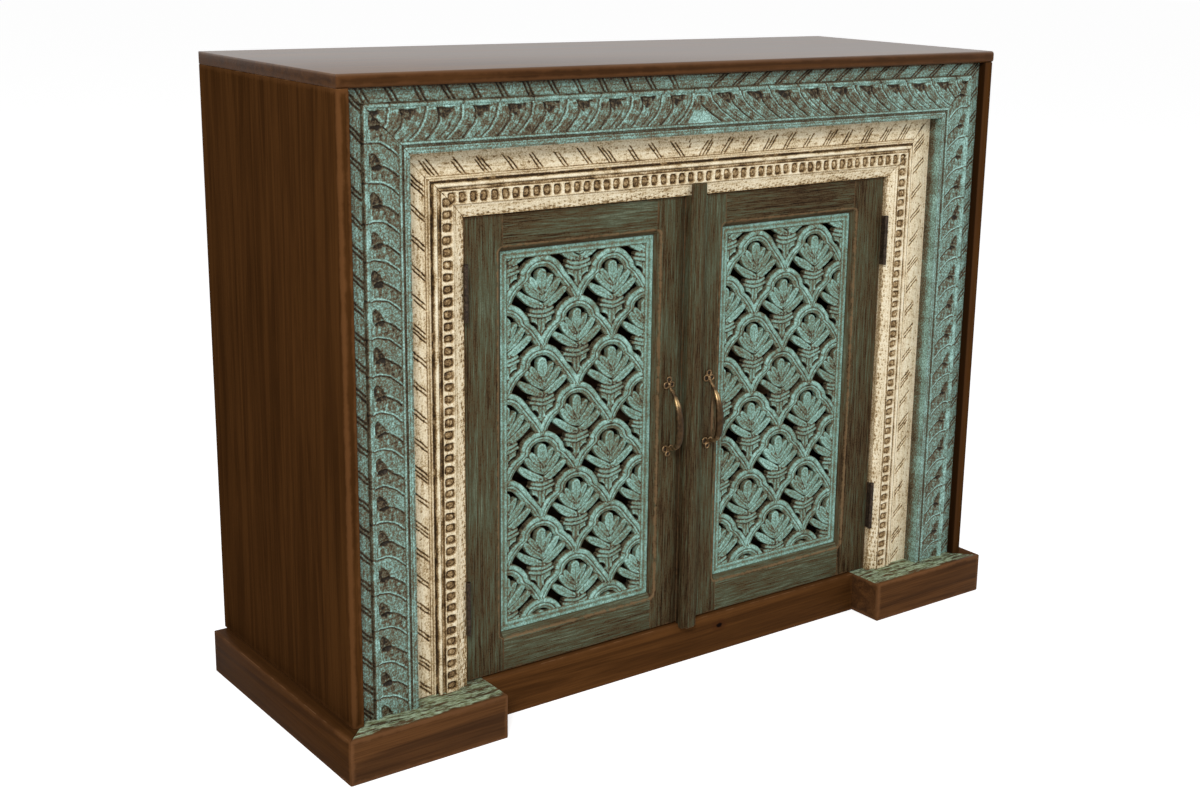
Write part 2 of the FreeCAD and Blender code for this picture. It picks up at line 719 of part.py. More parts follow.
def lattice(hand):
    """Pierced panel: flat border, rows of arches and the holes round their leaves."""
    name = hand_name(hand)
    near, far = "meet_show", OPEN_OUT
    play = value("panel_play")
    x = sorted((hand * value(near), hand * value(far)))
    z = (value(OPEN_LOW), value(OPEN_HIGH))
    front = value(PANEL_FRONT)
    back = value(PANEL_BACK)
    edge = value("bevel + lattice_border")
    plate = Part.makeBox(
        x[1] - x[0] - 2 * play, back - front, z[1] - z[0] - 2 * play, Vector(x[0] + play, front, z[0] + play)
    )
    field_size = (x[1] - x[0] - 2 * edge, z[1] - z[0] - 2 * edge)
    ground = front + value("lattice_relief")
    sunk = Part.makeBox(field_size[0], ground - front, field_size[1], Vector(x[0] + edge, front, z[0] + edge))
    field = Part.makeBox(field_size[0], back - front, field_size[1], Vector(x[0] + edge, front, z[0] + edge))
    middle = (x[0] + x[1]) / 2
    half = value("lattice_half")
    row = value("lattice_row")
    first = z[1] - value("bevel + lattice_head")
    rows = int((first - z[0]) // row) + 1
    bands = []
    holes = []
    reach = int(field_size[0] // (2 * half)) + 2
    for index in range(-1, rows):
        crown = first - index * row
        for column in range(-reach, reach + 1):
            if (column + index) % 2 == 0:
                continue
            centre = middle + column * half
            holes += leaf_holes(centre, crown, front, back)
            if index >= 0:
                bands.append(arch_band(centre, crown, front, back).common(field))
    carved = plate.cut(sunk)
    carved = carved.cut([hole.common(field) for hole in holes if hole.common(field).Volume > TOUCH])
    carved = carved.fuse([band for band in bands if band.Volume > TOUCH]).removeSplitter()
    piece = doc.addObject("Part::Feature", f"{name}_lattice")
    piece.Shape = carved
    keep(piece, f"{name}_door_lattice")


def hinge_screws(hand, body, level, low):
    """Three countersunk screws through one leaf of one hinge, and their shanks alone."""
    name = f"{hand_name(hand)}_{level}_{body}"
    outward = 1 if body == "frame" else -1
    turn = Rotation(Vector(0, 0, 1), Vector(hand * outward, 0, 0))
    gap_face = OPEN_SIDE if body == "frame" else DOOR_SIDE
    sign = "-1 *" if hand < 0 else "1 *"
    x = f"{sign} ({gap_face} - leaf_thick * {outward})"
    y = f"{AXIS_DEPTH} + screw_set"
    screws, shanks, heads = [], [], []
    for step in (-1, 0, 1):
        z = f"{low} + hinge_long / 2 + {step} * screw_pitch"
        tag = f"{name}_{step + 1}"
        head = doc.addObject("Part::Cone", f"{tag}_head")
        head.setExpression("Radius1", bound("screw_head"))
        head.setExpression("Radius2", bound("screw_radius"))
        head.setExpression("Height", bound("leaf_thick"))
        head.Placement = FreeCAD.Placement(Vector(0, 0, 0), turn)
        for axis, place in zip("xyz", (x, y, z)):
            head.setExpression(f"Placement.Base.{axis}", bound(place))
        root = f"{sign} {gap_face}"
        shank = cylinder(f"{tag}_shank", "screw_radius", "screw_long", root, y, z, turn)
        screws.append(fuse(f"{tag}_screw", [head, shank]))
        heads.append(head)
        shanks.append(shank)
    return screws, shanks, heads


def hinge(hand, level, low, frame_heads, door_heads):
    """A butt hinge: two outer knuckles on the frame leaf, the middle one on the door leaf."""
    name = f"{hand_name(hand)}_{level}"
    sign = "-1 *" if hand < 0 else "1 *"
    centre = f"{sign} {AXIS_SIDE}"
    knuckle = "((hinge_long - 2 * knuckle_gap) / 3)"
    starts = [low, f"({low} + {knuckle} + knuckle_gap)", f"({low} + 2 * ({knuckle} + knuckle_gap))"]
    bore_radius = "pin_radius + pin_play"
    swept = "knuckle_radius + hinge_gap"
    y = (AXIS_DEPTH, f"{AXIS_DEPTH} + leaf_reach")

    def round_bar(part, radius, height, base):
        return cylinder(f"{name}_{part}", radius, height, centre, AXIS_DEPTH, base)

    frame_x = sides(hand, f"{OPEN_SIDE} - leaf_thick", OPEN_SIDE)
    plate = box(f"{name}_frame_plate", frame_x, y, (low, f"{low} + hinge_long"))
    middle_low = f"{starts[1]} - knuckle_gap"
    window = round_bar("frame_window", swept, f"{knuckle} + 2 * knuckle_gap", middle_low)
    open_plate = cut(f"{name}_frame_open", plate, window)
    barrels = [
        round_bar("frame_knuckle_low", "knuckle_radius", knuckle, starts[0]),
        round_bar("frame_knuckle_high", "knuckle_radius", knuckle, starts[2]),
    ]
    solid = fuse(f"{name}_frame_solid", [open_plate] + barrels)
    frame_bore = round_bar("frame_bore", bore_radius, "hinge_long", low)
    frame_holes = fuse(f"{name}_frame_holes", [frame_bore] + frame_heads)
    keep(cut(f"{name}_frame_leaf", solid, frame_holes), f"hinge_{name}_frame_leaf")

    door_x_range = sides(hand, DOOR_SIDE, f"{DOOR_SIDE} + leaf_thick")
    door_plate = box(f"{name}_door_plate", door_x_range, y, (low, f"{low} + hinge_long"))
    ends = fuse(f"{name}_door_windows", [
        round_bar("door_window_low", swept, f"{knuckle} + knuckle_gap", low),
        round_bar("door_window_high", swept, f"{knuckle} + knuckle_gap", f"{starts[2]} - knuckle_gap"),
    ])
    door_open = cut(f"{name}_door_open", door_plate, ends)
    barrel = round_bar("door_knuckle", "knuckle_radius", knuckle, starts[1])
    door_solid = fuse(f"{name}_door_solid", [door_open, barrel])
    door_bore = round_bar("door_bore", bore_radius, "hinge_long", low)
    door_holes = fuse(f"{name}_door_holes", [door_bore] + door_heads)
    keep(cut(f"{name}_door_leaf", door_solid, door_holes), f"hinge_{name}_door_leaf")

    shaft = round_bar("pin_shaft", "pin_radius", "hinge_long", low)
    cap = round_bar("pin_cap", "knuckle_radius", "pin_head", f"{low} + hinge_long")
    return fuse(f"{name}_pin", [shaft, cap])


def astragal():
    """Beaded strip on the right door's meeting stile, notched where it laps the frame."""
    face = f"({DOOR_FRONT} - astragal_rise)"
    bead = f"{face} + astragal_bead_drop"
    inset = f"({ASTRAGAL} - astragal_bead)"
    outline = [
        (f"-{ASTRAGAL}", DOOR_FRONT), (f"-{ASTRAGAL}", bead), (f"-{inset}", bead), (f"-{inset}", face),
        (inset, face), (inset, bead), (ASTRAGAL, bead), (ASTRAGAL, DOOR_FRONT),
    ]
    high = f"({OPEN_TOP} + astragal_over)"
    low = "(plinth_tall - astragal_under)"
    strip = prism("astragal_body", "XY_Plane", outline, low, high)
    wide = (f"-{ASTRAGAL}", ASTRAGAL)
    top_notch = box(
        "astragal_top_notch", wide, (f"{BEAD_FRONT} - lap_gap", DOOR_FRONT), (f"{OPEN_TOP} - lap_gap", high)
    )
    toe = f"{FRONT} + toe_set - lap_gap"
    low_notch = box("astragal_low_notch", wide, (toe, DOOR_FRONT), (low, "plinth_tall + lap_gap"))
    notches = fuse("astragal_notches", [top_notch, low_notch])
    keep(cut("astragal_strip", strip, notches), "right_door_astragal")


def rose_rings(end):
    """Ring centres of a rose, beside and past its middle, for the upper (1) or lower end (-1)."""
    side, tip = value("rose_side"), value("rose_tip")
    wire = value("rose_wire")
    return ((-side, -end * wire), (side, -end * wire), (0.0, end * tip))


GRIP_SECTIONS = 9


def pull(hand):
    """Bowed bronze grip on two roses of three rings, and the tacks through the rings.

    Returns the tacks' shanks, which the stile is drilled for.
    """
    name = hand_name(hand)
    centre = hand * value("pull_in")
    height = value("pull_height")
    face = value(DOOR_FRONT)
    half = value("pull_long") / 2
    bow = value("pull_bow")
    radius = (half ** 2 + bow ** 2) / (2 * bow)
    spread = math.asin(half / radius)
    middle = Vector(centre, face - bow + radius, height)
    wires = []
    for index in range(GRIP_SECTIONS):
        share = 2 * index / (GRIP_SECTIONS - 1) - 1
        angle = share * spread
        spot = middle + Vector(0, -radius * math.cos(angle), radius * math.sin(angle))
        tangent = Vector(0, math.sin(angle), math.cos(angle))
        neck, grip = value("pull_neck"), value("pull_grip")
        thick = neck + (grip - neck) * math.cos(share * math.pi / 2) ** 2
        wires.append(Part.Wire(Part.makeCircle(thick, spot, tangent)))
    body = Part.makeLoft(wires, True, False)
    ring, wire = value("rose_ring"), value("rose_wire")
    forward = Vector(0, -1, 0)
    rings = []
    tacks = []
    shanks = []
    for end in (-1, 1):
        rose = Vector(centre, face - wire / 2, height + end * half)
        for side, rise in rose_rings(end):
            spot = rose + Vector(side, 0, rise)
            rings.append(Part.makeTorus(ring, wire, spot, forward))
            shank_low = Vector(spot.x, face + value("tack_long"), spot.z)
            shank = Part.makeCylinder(value("tack_radius"), value("tack_long"), shank_low, forward)
            head_radius = value("rose_ring - rose_wire - tack_slack")
            head = Part.makeCylinder(head_radius, wire, Vector(spot.x, face, spot.z), forward)
            tacks.append(shank.fuse(head))
            shanks.append(shank)
        boss = Part.makeCylinder(value("rose_boss"), 2 * wire, Vector(rose.x, face, rose.z), forward)
        rings.append(boss)
    whole = body.fuse(rings)
    behind = Part.makeBox(
        value("pull_long"), value("door_thick"), 2 * value("pull_long"),
        Vector(centre - half, face, height - value("pull_long")),
    )
    whole = whole.cut(behind).removeSplitter()
    piece = doc.addObject("Part::Feature", f"{name}_pull")
    piece.Shape = whole
    keep(piece, f"{name}_door_pull")
    pins = doc.addObject("Part::Feature", f"{name}_tacks")
    pins.Shape = Part.makeCompound(tacks)
    keep(pins, f"{name}_pull_tacks")
    drill = doc.addObject("Part::Feature", f"{name}_tack_shanks")
    drill.Shape = Part.makeCompound(shanks)
    return drill


def strike(hand):
    """Steel plate on the back of the top rail, opposite the magnet."""
    name = hand_name(hand)
    low = f"({OPEN_TOP} - stop_lap)"
    keep(
        box(
            f"{name}_strike",
            sides(hand, "catch_in - catch_wide / 2", "catch_in + catch_wide / 2"),
            (DOOR_BACK, f"{DOOR_BACK} + strike_thick"),
            (f"{low} - catch_gap - strike_tall", f"{low} - catch_gap"),
        ),
        f"{name}_door_strike_plate",
    )


def doors():
    """Both doors with their hinges; returns the shanks that bite into the face frame."""
    frame_screws = []
    frame_shanks = {}
    for hand in (-1, 1):
        name = hand_name(hand)
        door_screws, door_shanks, pins = [], [], []
        frame_shanks[hand] = []
        for level, low in hinge_levels().items():
            screws, shanks, frame_heads = hinge_screws(hand, "frame", level, low)
            frame_screws += screws
            frame_shanks[hand] += shanks
            screws, shanks, door_heads = hinge_screws(hand, "door", level, low)
            door_screws += screws
            door_shanks += shanks
            pins.append(hinge(hand, level, low, frame_heads, door_heads))
        door_frame(hand, door_shanks, pull(hand))
        lattice(hand)
        panel_beads(hand)
        strike(hand)
        keep(group(f"{name}_pins", pins), f"hinge_pins_{name}")
        keep(group(f"{name}_door_screws", door_screws), f"{name}_door_hinge_screws")
    astragal()
    keep(group("frame_screws", frame_screws), "frame_hinge_screws")
    return frame_shanks


def drill_face_frame(frame_shanks):
    """Pilot holes for the hinge screws in the two jambs of the face frame."""
    for hand, shanks in frame_shanks.items():
        label = f"face_frame_{hand_name(hand)}"
        jamb = next(piece for piece in kept if piece.Label == label)
        jamb.Label = label + "_blank"
        kept.remove(jamb)
        holes = fuse(label + "_pilots", shanks)
        keep(cut(label + "_drilled", jamb, holes), label)


def check_and_write():
    """Stop on any failed object, then write each sub-part as its own file."""
    doc.recompute()
    for item in doc.Objects:
        if "Invalid" in item.State or "Error" in item.State:
            raise RuntimeError(f"{item.Name} failed: {item.State}")
    os.makedirs("parts", exist_ok=True)
    for piece in kept:
        shape = piece.Shape
        if shape.isNull() or not shape.isValid() or not shape.Solids:
            raise RuntimeError(f"{piece.Label} has no valid solid")
        shape.exportStep(f"parts/{piece.Label}.step")
    print(len(kept), "sub-parts,", sum(len(piece.Shape.Solids) for piece in kept), "solids")


case_boards()
plinth()
frames()
stop_and_catches()
drill_face_frame(doors())
check_and_write()
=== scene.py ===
"""Carved sideboard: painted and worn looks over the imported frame, in metres."""
import bpy
import math
import numpy as np
from mathutils import Matrix, Vector


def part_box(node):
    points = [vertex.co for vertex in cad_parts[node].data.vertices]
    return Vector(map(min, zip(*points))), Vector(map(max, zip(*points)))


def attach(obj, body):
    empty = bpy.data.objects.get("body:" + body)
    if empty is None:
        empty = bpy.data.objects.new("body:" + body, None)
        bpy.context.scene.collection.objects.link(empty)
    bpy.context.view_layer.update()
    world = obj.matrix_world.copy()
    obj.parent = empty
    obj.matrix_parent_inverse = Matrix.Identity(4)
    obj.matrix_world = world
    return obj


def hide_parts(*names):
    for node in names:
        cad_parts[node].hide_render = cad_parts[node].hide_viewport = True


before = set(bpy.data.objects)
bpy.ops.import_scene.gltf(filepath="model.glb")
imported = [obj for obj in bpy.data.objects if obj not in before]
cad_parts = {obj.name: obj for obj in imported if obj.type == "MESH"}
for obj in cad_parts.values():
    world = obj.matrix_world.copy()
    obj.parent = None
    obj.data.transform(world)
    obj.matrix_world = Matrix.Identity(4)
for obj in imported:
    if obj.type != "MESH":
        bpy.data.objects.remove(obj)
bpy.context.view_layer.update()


# Floor, light and viewpoint. The sideboard stands on a plain pale studio floor that runs
# out to white. A broad lamp high on the left, a weaker one on the right and an even white
# room light it softly.

FLOOR_GREY, FLOOR_GLOW = (0.86, 0.86, 0.86), 0.62
ROOM_LIGHT, ROOM_SEEN, ROOM_MIRRORED = 0.42, 0.58, 0.45
NOISE_TURN = (0.61, 0.43, 0.87)
VIEW_SPOT = (-1.5506, -2.0928, 1.1233)
VIEW_TURN, VIEW_TILT, VIEW_LEAN = 0.661006, -0.248473, 0.0219793


class Wire:
    """A socket of a material's nodes, so that a pattern reads as a sum."""

    def __init__(self, tree, socket):
        self.tree = tree
        self.socket = socket

    def node(self, kind, settings=None, values=None, out=0):
        made = self.tree.nodes.new(kind)
        for name, setting in (settings or {}).items():
            if name == "stops":
                ramp = made.color_ramp
                for spot, shade in setting[1:-1]:
                    ramp.elements.new(spot).color = (*shade, 1)
                for end, (spot, shade) in ((0, setting[0]), (-1, setting[-1])):
                    ramp.elements[end].position = spot
                    ramp.elements[end].color = (*shade, 1)
            else:
                setattr(made, name, setting)
        for name, given in (values or {}).items():
            socket = made.inputs[name]
            if isinstance(given, Wire):
                self.tree.links.new(given.socket, socket)
            elif socket.type == "RGBA":
                socket.default_value = (*given, 1)
            else:
                socket.default_value = given
        return Wire(self.tree, made.outputs[out]) if made.outputs else None

    def math(self, operation, *others):
        values = dict(enumerate((self,) + others))
        return self.node("ShaderNodeMath", {"operation": operation}, values)

    def __add__(self, other):
        return self.math("ADD", other)

    def __sub__(self, other):
        return self.math("SUBTRACT", other)

    def __rsub__(self, other):
        return self * -1 + other

    def __mul__(self, other):
        return self.math("MULTIPLY", other)

    __radd__ = __add__
    __rmul__ = __mul__

    def least(self, other):
        return self.math("MINIMUM", other)

    def most(self, other):
        return self.math("MAXIMUM", other)

    def size(self):
        return self.math("ABSOLUTE")

    def reach(self, other):
        """The distance whose two legs are this and the other."""
        return (self * self + other * other).math("SQRT")

    def rise(self, low, high):
        """0 below low, 1 above high and smooth between them, or the reverse."""
        settings = {"interpolation_type": "SMOOTHSTEP"}
        values = {"Value": self, "From Min": min(low, high), "From Max": max(low, high)}
        grown = self.node("ShaderNodeMapRange", settings, values)
        return grown if low < high else 1 - grown

    def tint(self, off, on):
        """The colour off where this mask is 0 and the colour on where it is 1."""
        settings = {"data_type": "RGBA", "clamp_factor": True}
        return self.node("ShaderNodeMix", settings, {0: self, 6: off, 7: on}, 2)

    def axis(self, index):
        return self.node("ShaderNodeSeparateXYZ", {}, {"Vector": self}, index)

    def stretched(self, x, y, z):
        settings = {"operation": "MULTIPLY"}
        return self.node("ShaderNodeVectorMath", settings, {0: self, 1: (x, y, z)})

    def drawn(self, along, lengthwise, crosswise):
        """The place scaled so that a cloud on it runs in fibres along one axis."""
        return self.stretched(*(lengthwise if index == along else crosswise for index in range(3)))

    def cloud(self, scale, detail=4.0, rough=0.55, warp=0.0):
        """Uneven noise, turned askew so that no flat face lies in line with its cells."""
        settings = {"rotation_type": "EULER_XYZ"}
        askew = self.node("ShaderNodeVectorRotate", settings, {"Vector": self, "Rotation": NOISE_TURN})
        values = {"Vector": askew, "Scale": scale, "Detail": detail, "Roughness": rough, "Distortion": warp}
        return self.node("ShaderNodeTexNoise", {}, values)


def new_finish(name):
    """An empty material and the place on the object that its pattern reads."""
    finish = bpy.data.materials.new(name)
    finish.use_nodes = True
    finish.node_tree.nodes.clear()
    spot = finish.node_tree.nodes.new("ShaderNodeTexCoord").outputs["Object"]
    return finish, Wire(finish.node_tree, spot)


def surface(place, colour, rough, grain=None, depth=0.0005, shine=0.5, film=0.0, metal=0.0):
    """Ends a material: colour, roughness, surface relief and constant gloss, clear film and metal."""
    values = {"Base Color": colour, "Roughness": rough, "Specular IOR Level": shine,
              "Coat Weight": film, "Coat Roughness": 0.3, "Metallic": metal}
    if grain is not None:
        values["Normal"] = place.node(
            "ShaderNodeBump", {}, {"Strength": 1.0, "Distance": depth, "Height": grain})
    shader = place.node("ShaderNodeBsdfPrincipled", {}, values)
    place.node("ShaderNodeOutputMaterial", {}, {"Surface": shader})


def coat(piece, finish):
    """Gives a piece one finish all over."""
    piece.data.materials.clear()
    piece.data.materials.append(finish)


def unpick():
    for piece in bpy.context.selected_objects:
        piece.select_set(False)


def take_up(piece):
    """Makes a piece the one that the next operators work on."""
    unpick()
    piece.select_set(True)
    bpy.context.view_layer.objects.active = piece


unpick()
bpy.ops.mesh.primitive_plane_add(size=60)
floor = bpy.context.object
floor.name = "studio_floor"
finish, place = new_finish("pale_floor")
seen = place.node("ShaderNodeLightPath", {}, {}, 0)
matt = place.node("ShaderNodeBsdfDiffuse", {}, {"Color": FLOOR_GREY})
glow = place.node("ShaderNodeEmission", {}, {"Color": (1, 1, 1), "Strength": seen * FLOOR_GLOW})
lit = place.node("ShaderNodeAddShader", {}, {0: matt, 1: glow})
place.node("ShaderNodeOutputMaterial", {}, {"Surface": lit})
coat(floor, finish)

world = bpy.data.worlds.new("white_room")
bpy.context.scene.world = world
world.use_nodes = True
room = world.node_tree
room.nodes.clear()
seen = Wire(room, room.nodes.new("ShaderNodeLightPath").outputs["Is Camera Ray"])
mirrored = seen.node("ShaderNodeLightPath", {}, {}, 3)
strength = ROOM_LIGHT + ROOM_SEEN * seen + ROOM_MIRRORED * mirrored
wall = seen.node("ShaderNodeBackground", {}, {"Color": (1, 1, 1), "Strength": strength})
seen.node("ShaderNodeOutputWorld", {}, {"Surface": wall})

for name, spot, wide, power in (
    ("key_lamp", (-2.9, -3.2, 3.4), 1.6, 150.0),
    ("side_lamp", (2.8, -3.2, 2.4), 2.4, 34.0),
):
    bpy.ops.object.light_add(type="AREA", location=spot)
    lamp = bpy.context.object
    lamp.name = name
    lamp.data.shape = "DISK"
    lamp.data.size = wide
    lamp.data.energy = power
    lamp.rotation_euler = (Vector((0, 0, 0.45)) - Vector(spot)).to_track_quat("-Z", "Y").to_euler()

bpy.ops.object.camera_add(location=VIEW_SPOT)
camera = bpy.context.object
camera.name = "viewpoint"
ahead = Vector((math.sin(VIEW_TURN) * math.cos(VIEW_TILT), math.cos(VIEW_TURN) * math.cos(VIEW_TILT),
                math.sin(VIEW_TILT)))
level = Vector((math.cos(VIEW_TURN), -math.sin(VIEW_TURN), 0))
upward = level.cross(ahead)
right_of_view = math.cos(VIEW_LEAN) * level + math.sin(VIEW_LEAN) * upward
top_of_view = -math.sin(VIEW_LEAN) * level + math.cos(VIEW_LEAN) * upward
camera.rotation_euler = Matrix((right_of_view, top_of_view, -ahead)).transposed().to_euler()
camera.data.sensor_width = 36
camera.data.lens = 50.115
camera.data.shift_x = -0.0534
camera.data.shift_y = -0.0333
camera.data.clip_end = 100
bpy.context.scene.camera = camera
bpy.context.scene.view_settings.view_transform = "Standard"


# Case boards: top and two sides of dark oiled hardwood, glued into a plain box with rounded
# front edges. The grain runs along each board and the edges have worn to a warmer brown; the
# pale arrises are partly wear and partly painted highlight. The right side's front edge and
# the side panels' inner faces beside the frame are painted darker as painted shade, and the
# top is painted lighter as a painted sheen under a satin film that mirrors the room at a
# low angle.

BOARD_EASE = 0.0012
WALNUT_DARK, WALNUT_LIGHT = (0.036, 0.0142, 0.0040), (0.064, 0.0255, 0.0070)
WALNUT_PATCH, WALNUT_PORE = (0.078, 0.031, 0.0085), (0.028, 0.011, 0.004)
PALE_ARRIS_WEAR_AND_HIGHLIGHT, NOOK_SHADE = (0.22, 0.115, 0.055), (0.010, 0.004, 0.0015)
# The third edge colour, for the right side, is the worn edge painted darker: painted shade.
WORN_EDGE, WORN_TOP_EDGE, WORN_EDGE_IN_PAINTED_SHADE = (0.135, 0.056, 0.019), (0.105, 0.043, 0.015), (0.062, 0.026, 0.010)
# Colours of the top's painted sheen.
TOP_SHEEN_DARK, TOP_SHEEN_LIGHT = (0.070, 0.032, 0.013), (0.215, 0.112, 0.050)


def eased_copy(node, name, ease, body="carcase"):
    """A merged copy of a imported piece, its sharp edges rounded off by ease, which stands for it."""
    piece = bpy.data.objects.new(name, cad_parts[node].data.copy())
    bpy.context.scene.collection.objects.link(piece)
    take_up(piece)
    bpy.ops.object.mode_set(mode="EDIT")
    bpy.ops.mesh.select_all(action="SELECT")
    bpy.ops.mesh.remove_doubles(threshold=0.00001)
    bpy.ops.mesh.dissolve_limited(angle_limit=math.radians(1))
    bpy.ops.object.mode_set(mode="OBJECT")
    rounding = piece.modifiers.new("eased_edges", "BEVEL")
    rounding.width = ease
    rounding.segments = 2
    rounding.limit_method = "ANGLE"
    rounding.angle_limit = math.radians(40)
    rounding.use_clamp_overlap = True
    bpy.ops.object.modifier_apply(modifier=rounding.name)
    bpy.ops.object.shade_smooth_by_angle(angle=math.radians(50))
    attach(piece, body)
    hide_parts(node)
    return piece


def edge_reach(place, low, high):
    """How far a spot on a board lies from the board's nearest edge."""
    reach = []
    for index in range(3):
        spot = place.axis(index)
        reach.append((spot - low[index]).size().least((spot - high[index]).size()))
    first, second, third = reach
    return first.least(second).most(first.most(second).least(third))


def board_grain(place, along, scale=1.0):
    """Long fibres and broader figure of a board whose grain runs along axis 0, 1 or 2."""
    figure = place.drawn(along, 1.5 * scale, 34.0 * scale).cloud(1.0, 5.0, 0.6, 1.4)
    fibre = place.drawn(along, 9.0 * scale, 420.0 * scale).cloud(1.0, 3.0, 0.6)
    return figure, fibre


def walnut(name, node, along, warm, worn=WORN_EDGE, rough=0.45, shine=0.01, film=0.0):
    """Dark oiled board with worn edges, and a top painted lighter as a painted sheen where it has a film."""
    finish, place = new_finish(name)
    low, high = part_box(node)
    figure, fibre = board_grain(place, along)
    band = figure.rise(0.36, 0.66)
    dark, light = (tuple(warm * shade for shade in tone) for tone in (WALNUT_DARK, WALNUT_LIGHT))
    colour = band.tint(dark, light)
    colour = (fibre.rise(0.42, 0.62) * 0.30).tint(colour, WALNUT_PORE)
    patch = place.cloud(5.0, 3.0).rise(0.4, 0.7) * 0.30
    colour = patch.tint(colour, WALNUT_PATCH)
    rubbed = place.cloud(38.0, 5.0, 0.65)
    edge = edge_reach(place, low, high)
    bare = (rubbed * 0.012 - edge).rise(-0.002, 0.004)
    front = place.axis(1).rise(-0.170, -0.205) * 0.45 + 0.3
    colour = (bare * front).tint(colour, worn)
    # Pale wood on the sharpest edges: partly wear, partly a painted highlight.
    colour = (edge.rise(0.0016, 0.0) * rubbed.rise(0.45, 0.6) * 0.5).tint(colour, PALE_ARRIS_WEAR_AND_HIGHLIGHT)
    if "side_panel" in name:
        # Painted shade on the side panels' inner faces, beside the frame.
        nook = place.axis(0).size().rise(0.5835, 0.5825)
        colour = (nook * 0.75).tint(colour, NOOK_SHADE)
    if "front_board" in name:
        knot = place.stretched(1, 0.2, 1.7).cloud(90.0, 3.0) * 0.009
        far = (place.axis(0) - KNOT_X).reach((place.axis(2) - KNOT_Z) * 1.5) + knot
        colour = (far.rise(0.024, 0.012) * 0.6).tint(colour, KNOT_HALO)
        colour = far.rise(0.0125, 0.0085).tint(colour, KNOT_HEART)
    if film:
        # The top face is painted lighter: a painted sheen, under the satin film.
        on_top = place.axis(2).rise(high[2] - 0.004, high[2] - 0.0005)
        painted_top_sheen = (band * 0.7 + fibre.rise(0.40, 0.64) * 0.3).tint(TOP_SHEEN_DARK, TOP_SHEEN_LIGHT)
        colour = (on_top * 0.6).tint(colour, painted_top_sheen)
        film = on_top * film
    surface(place, colour, (figure - 0.5) * 0.12 + rough, fibre * 0.35 + figure * 0.5, 0.0006, shine, film)
    return finish


for node, along, warm, worn, rough, shine, film in (
    ("top_panel", 0, 1.25, WORN_TOP_EDGE, 0.34, 0.06, 0.44),
    ("side_panel_left", 2, 1.25, WORN_EDGE, 0.45, 0.0, 0.0),
    # The right side's worn front edge is painted darker: painted shade.
    ("side_panel_right", 2, 1.15, WORN_EDGE_IN_PAINTED_SHADE, 0.45, 0.0, 0.0),
):
    board = eased_copy(node, node + "_board", BOARD_EASE)
    coat(board, walnut("walnut_" + node, node, along, warm, worn, rough, shine, film))


# Plinth: two side boards, each mitred to a block at its front corner, a front board set back
# under the doors and a back board, all glued up of the same hardwood. The tops of the blocks
# keep flaked teal paint, rubbed through to brown towards their front edges.

KNOT_X, KNOT_Z = 0.072, 0.044
KNOT_HALO, KNOT_HEART = (0.055, 0.018, 0.006), (0.006, 0.003, 0.002)
BLOCK_DARK, BLOCK_LIGHT, BLOCK_EDGE = (0.060, 0.026, 0.010), (0.115, 0.048, 0.016), (0.17, 0.075, 0.03)
DUSTY_PAINT, CLEAN_PAINT = (0.150, 0.160, 0.072), (0.420, 0.530, 0.370)


def block_finish(node):
    """Hardwood with flaked teal paint on its top, inside a bare front edge."""
    finish, place = new_finish("painted_top_" + node)
    low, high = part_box(node)
    figure, fibre = board_grain(place, 0)
    colour = figure.rise(0.36, 0.66).tint(BLOCK_DARK, BLOCK_LIGHT)
    colour = (fibre.rise(0.42, 0.62) * 0.35).tint(colour, WALNUT_PORE)
    edge = edge_reach(place, low, high)
    rubbed = place.cloud(42.0, 5.0, 0.65)
    bare = (rubbed * 0.012 - edge).rise(-0.002, 0.004)
    colour = (bare * 0.6).tint(colour, BLOCK_EDGE)
    wave = (place.stretched(1, 0.3, 0.3).cloud(24.0, 3.0, 0.6) - 0.5) * 0.022
    on_top = place.axis(2).rise(high[2] - 0.0012, high[2] - 0.0004)
    inner = (place.axis(1) + wave).rise(low[1] + 0.004, low[1] + 0.010)
    flaked = place.drawn(0, 30, 150).cloud(1.0, 6.0, 0.72).rise(0.43, 0.50)
    coloured = on_top * inner * (flaked * 0.85 + 0.1)
    dust = place.drawn(0, 90, 260).cloud(1.0, 6.0, 0.7)
    paint = dust.rise(0.36, 0.64).tint(DUSTY_PAINT, CLEAN_PAINT)
    colour = coloured.tint(colour, paint)
    surface(place, colour, coloured * 0.3 + 0.42, fibre * 0.5 + coloured, 0.0005, 0.03)
    return finish


for node, along, warm in (("plinth_side_left", 1, 1.15), ("plinth_side_right", 1, 1.15),
                          ("plinth_front_board", 0, 1.7), ("plinth_back_board", 0, 1.15)):
    coat(eased_copy(node, node + "_board", BOARD_EASE), walnut("walnut_" + node, node, along, warm))
for node in ("plinth_block_left", "plinth_block_right"):
    coat(eased_copy(node, node + "_body", 0.0016), block_finish(node))


# Inside boards: floor, shelf with its cleats, stop rail, glue blocks and the beads behind
# the doors' panels, of plain lighter wood, planed and left nearly raw. The back is one thin
# board with a dull brown stain.

RAW_DARK, RAW_LIGHT = (0.16, 0.088, 0.044), (0.30, 0.180, 0.095)
STAIN_DARK, STAIN_LIGHT = (0.070, 0.038, 0.020), (0.165, 0.092, 0.050)


def raw_wood(name, along, dark=RAW_DARK, light=RAW_LIGHT):
    """Planed board with no film, its fibres darker than its figure."""
    finish, place = new_finish(name)
    figure, fibre = board_grain(place, along, 0.8)
    colour = figure.rise(0.34, 0.68).tint(dark, light)
    colour = (fibre.rise(0.45, 0.65) * 0.4).tint(colour, tuple(shade * 0.45 for shade in dark))
    surface(place, colour, figure * 0.15 + 0.62, fibre, 0.0004, 0.2)
    return finish


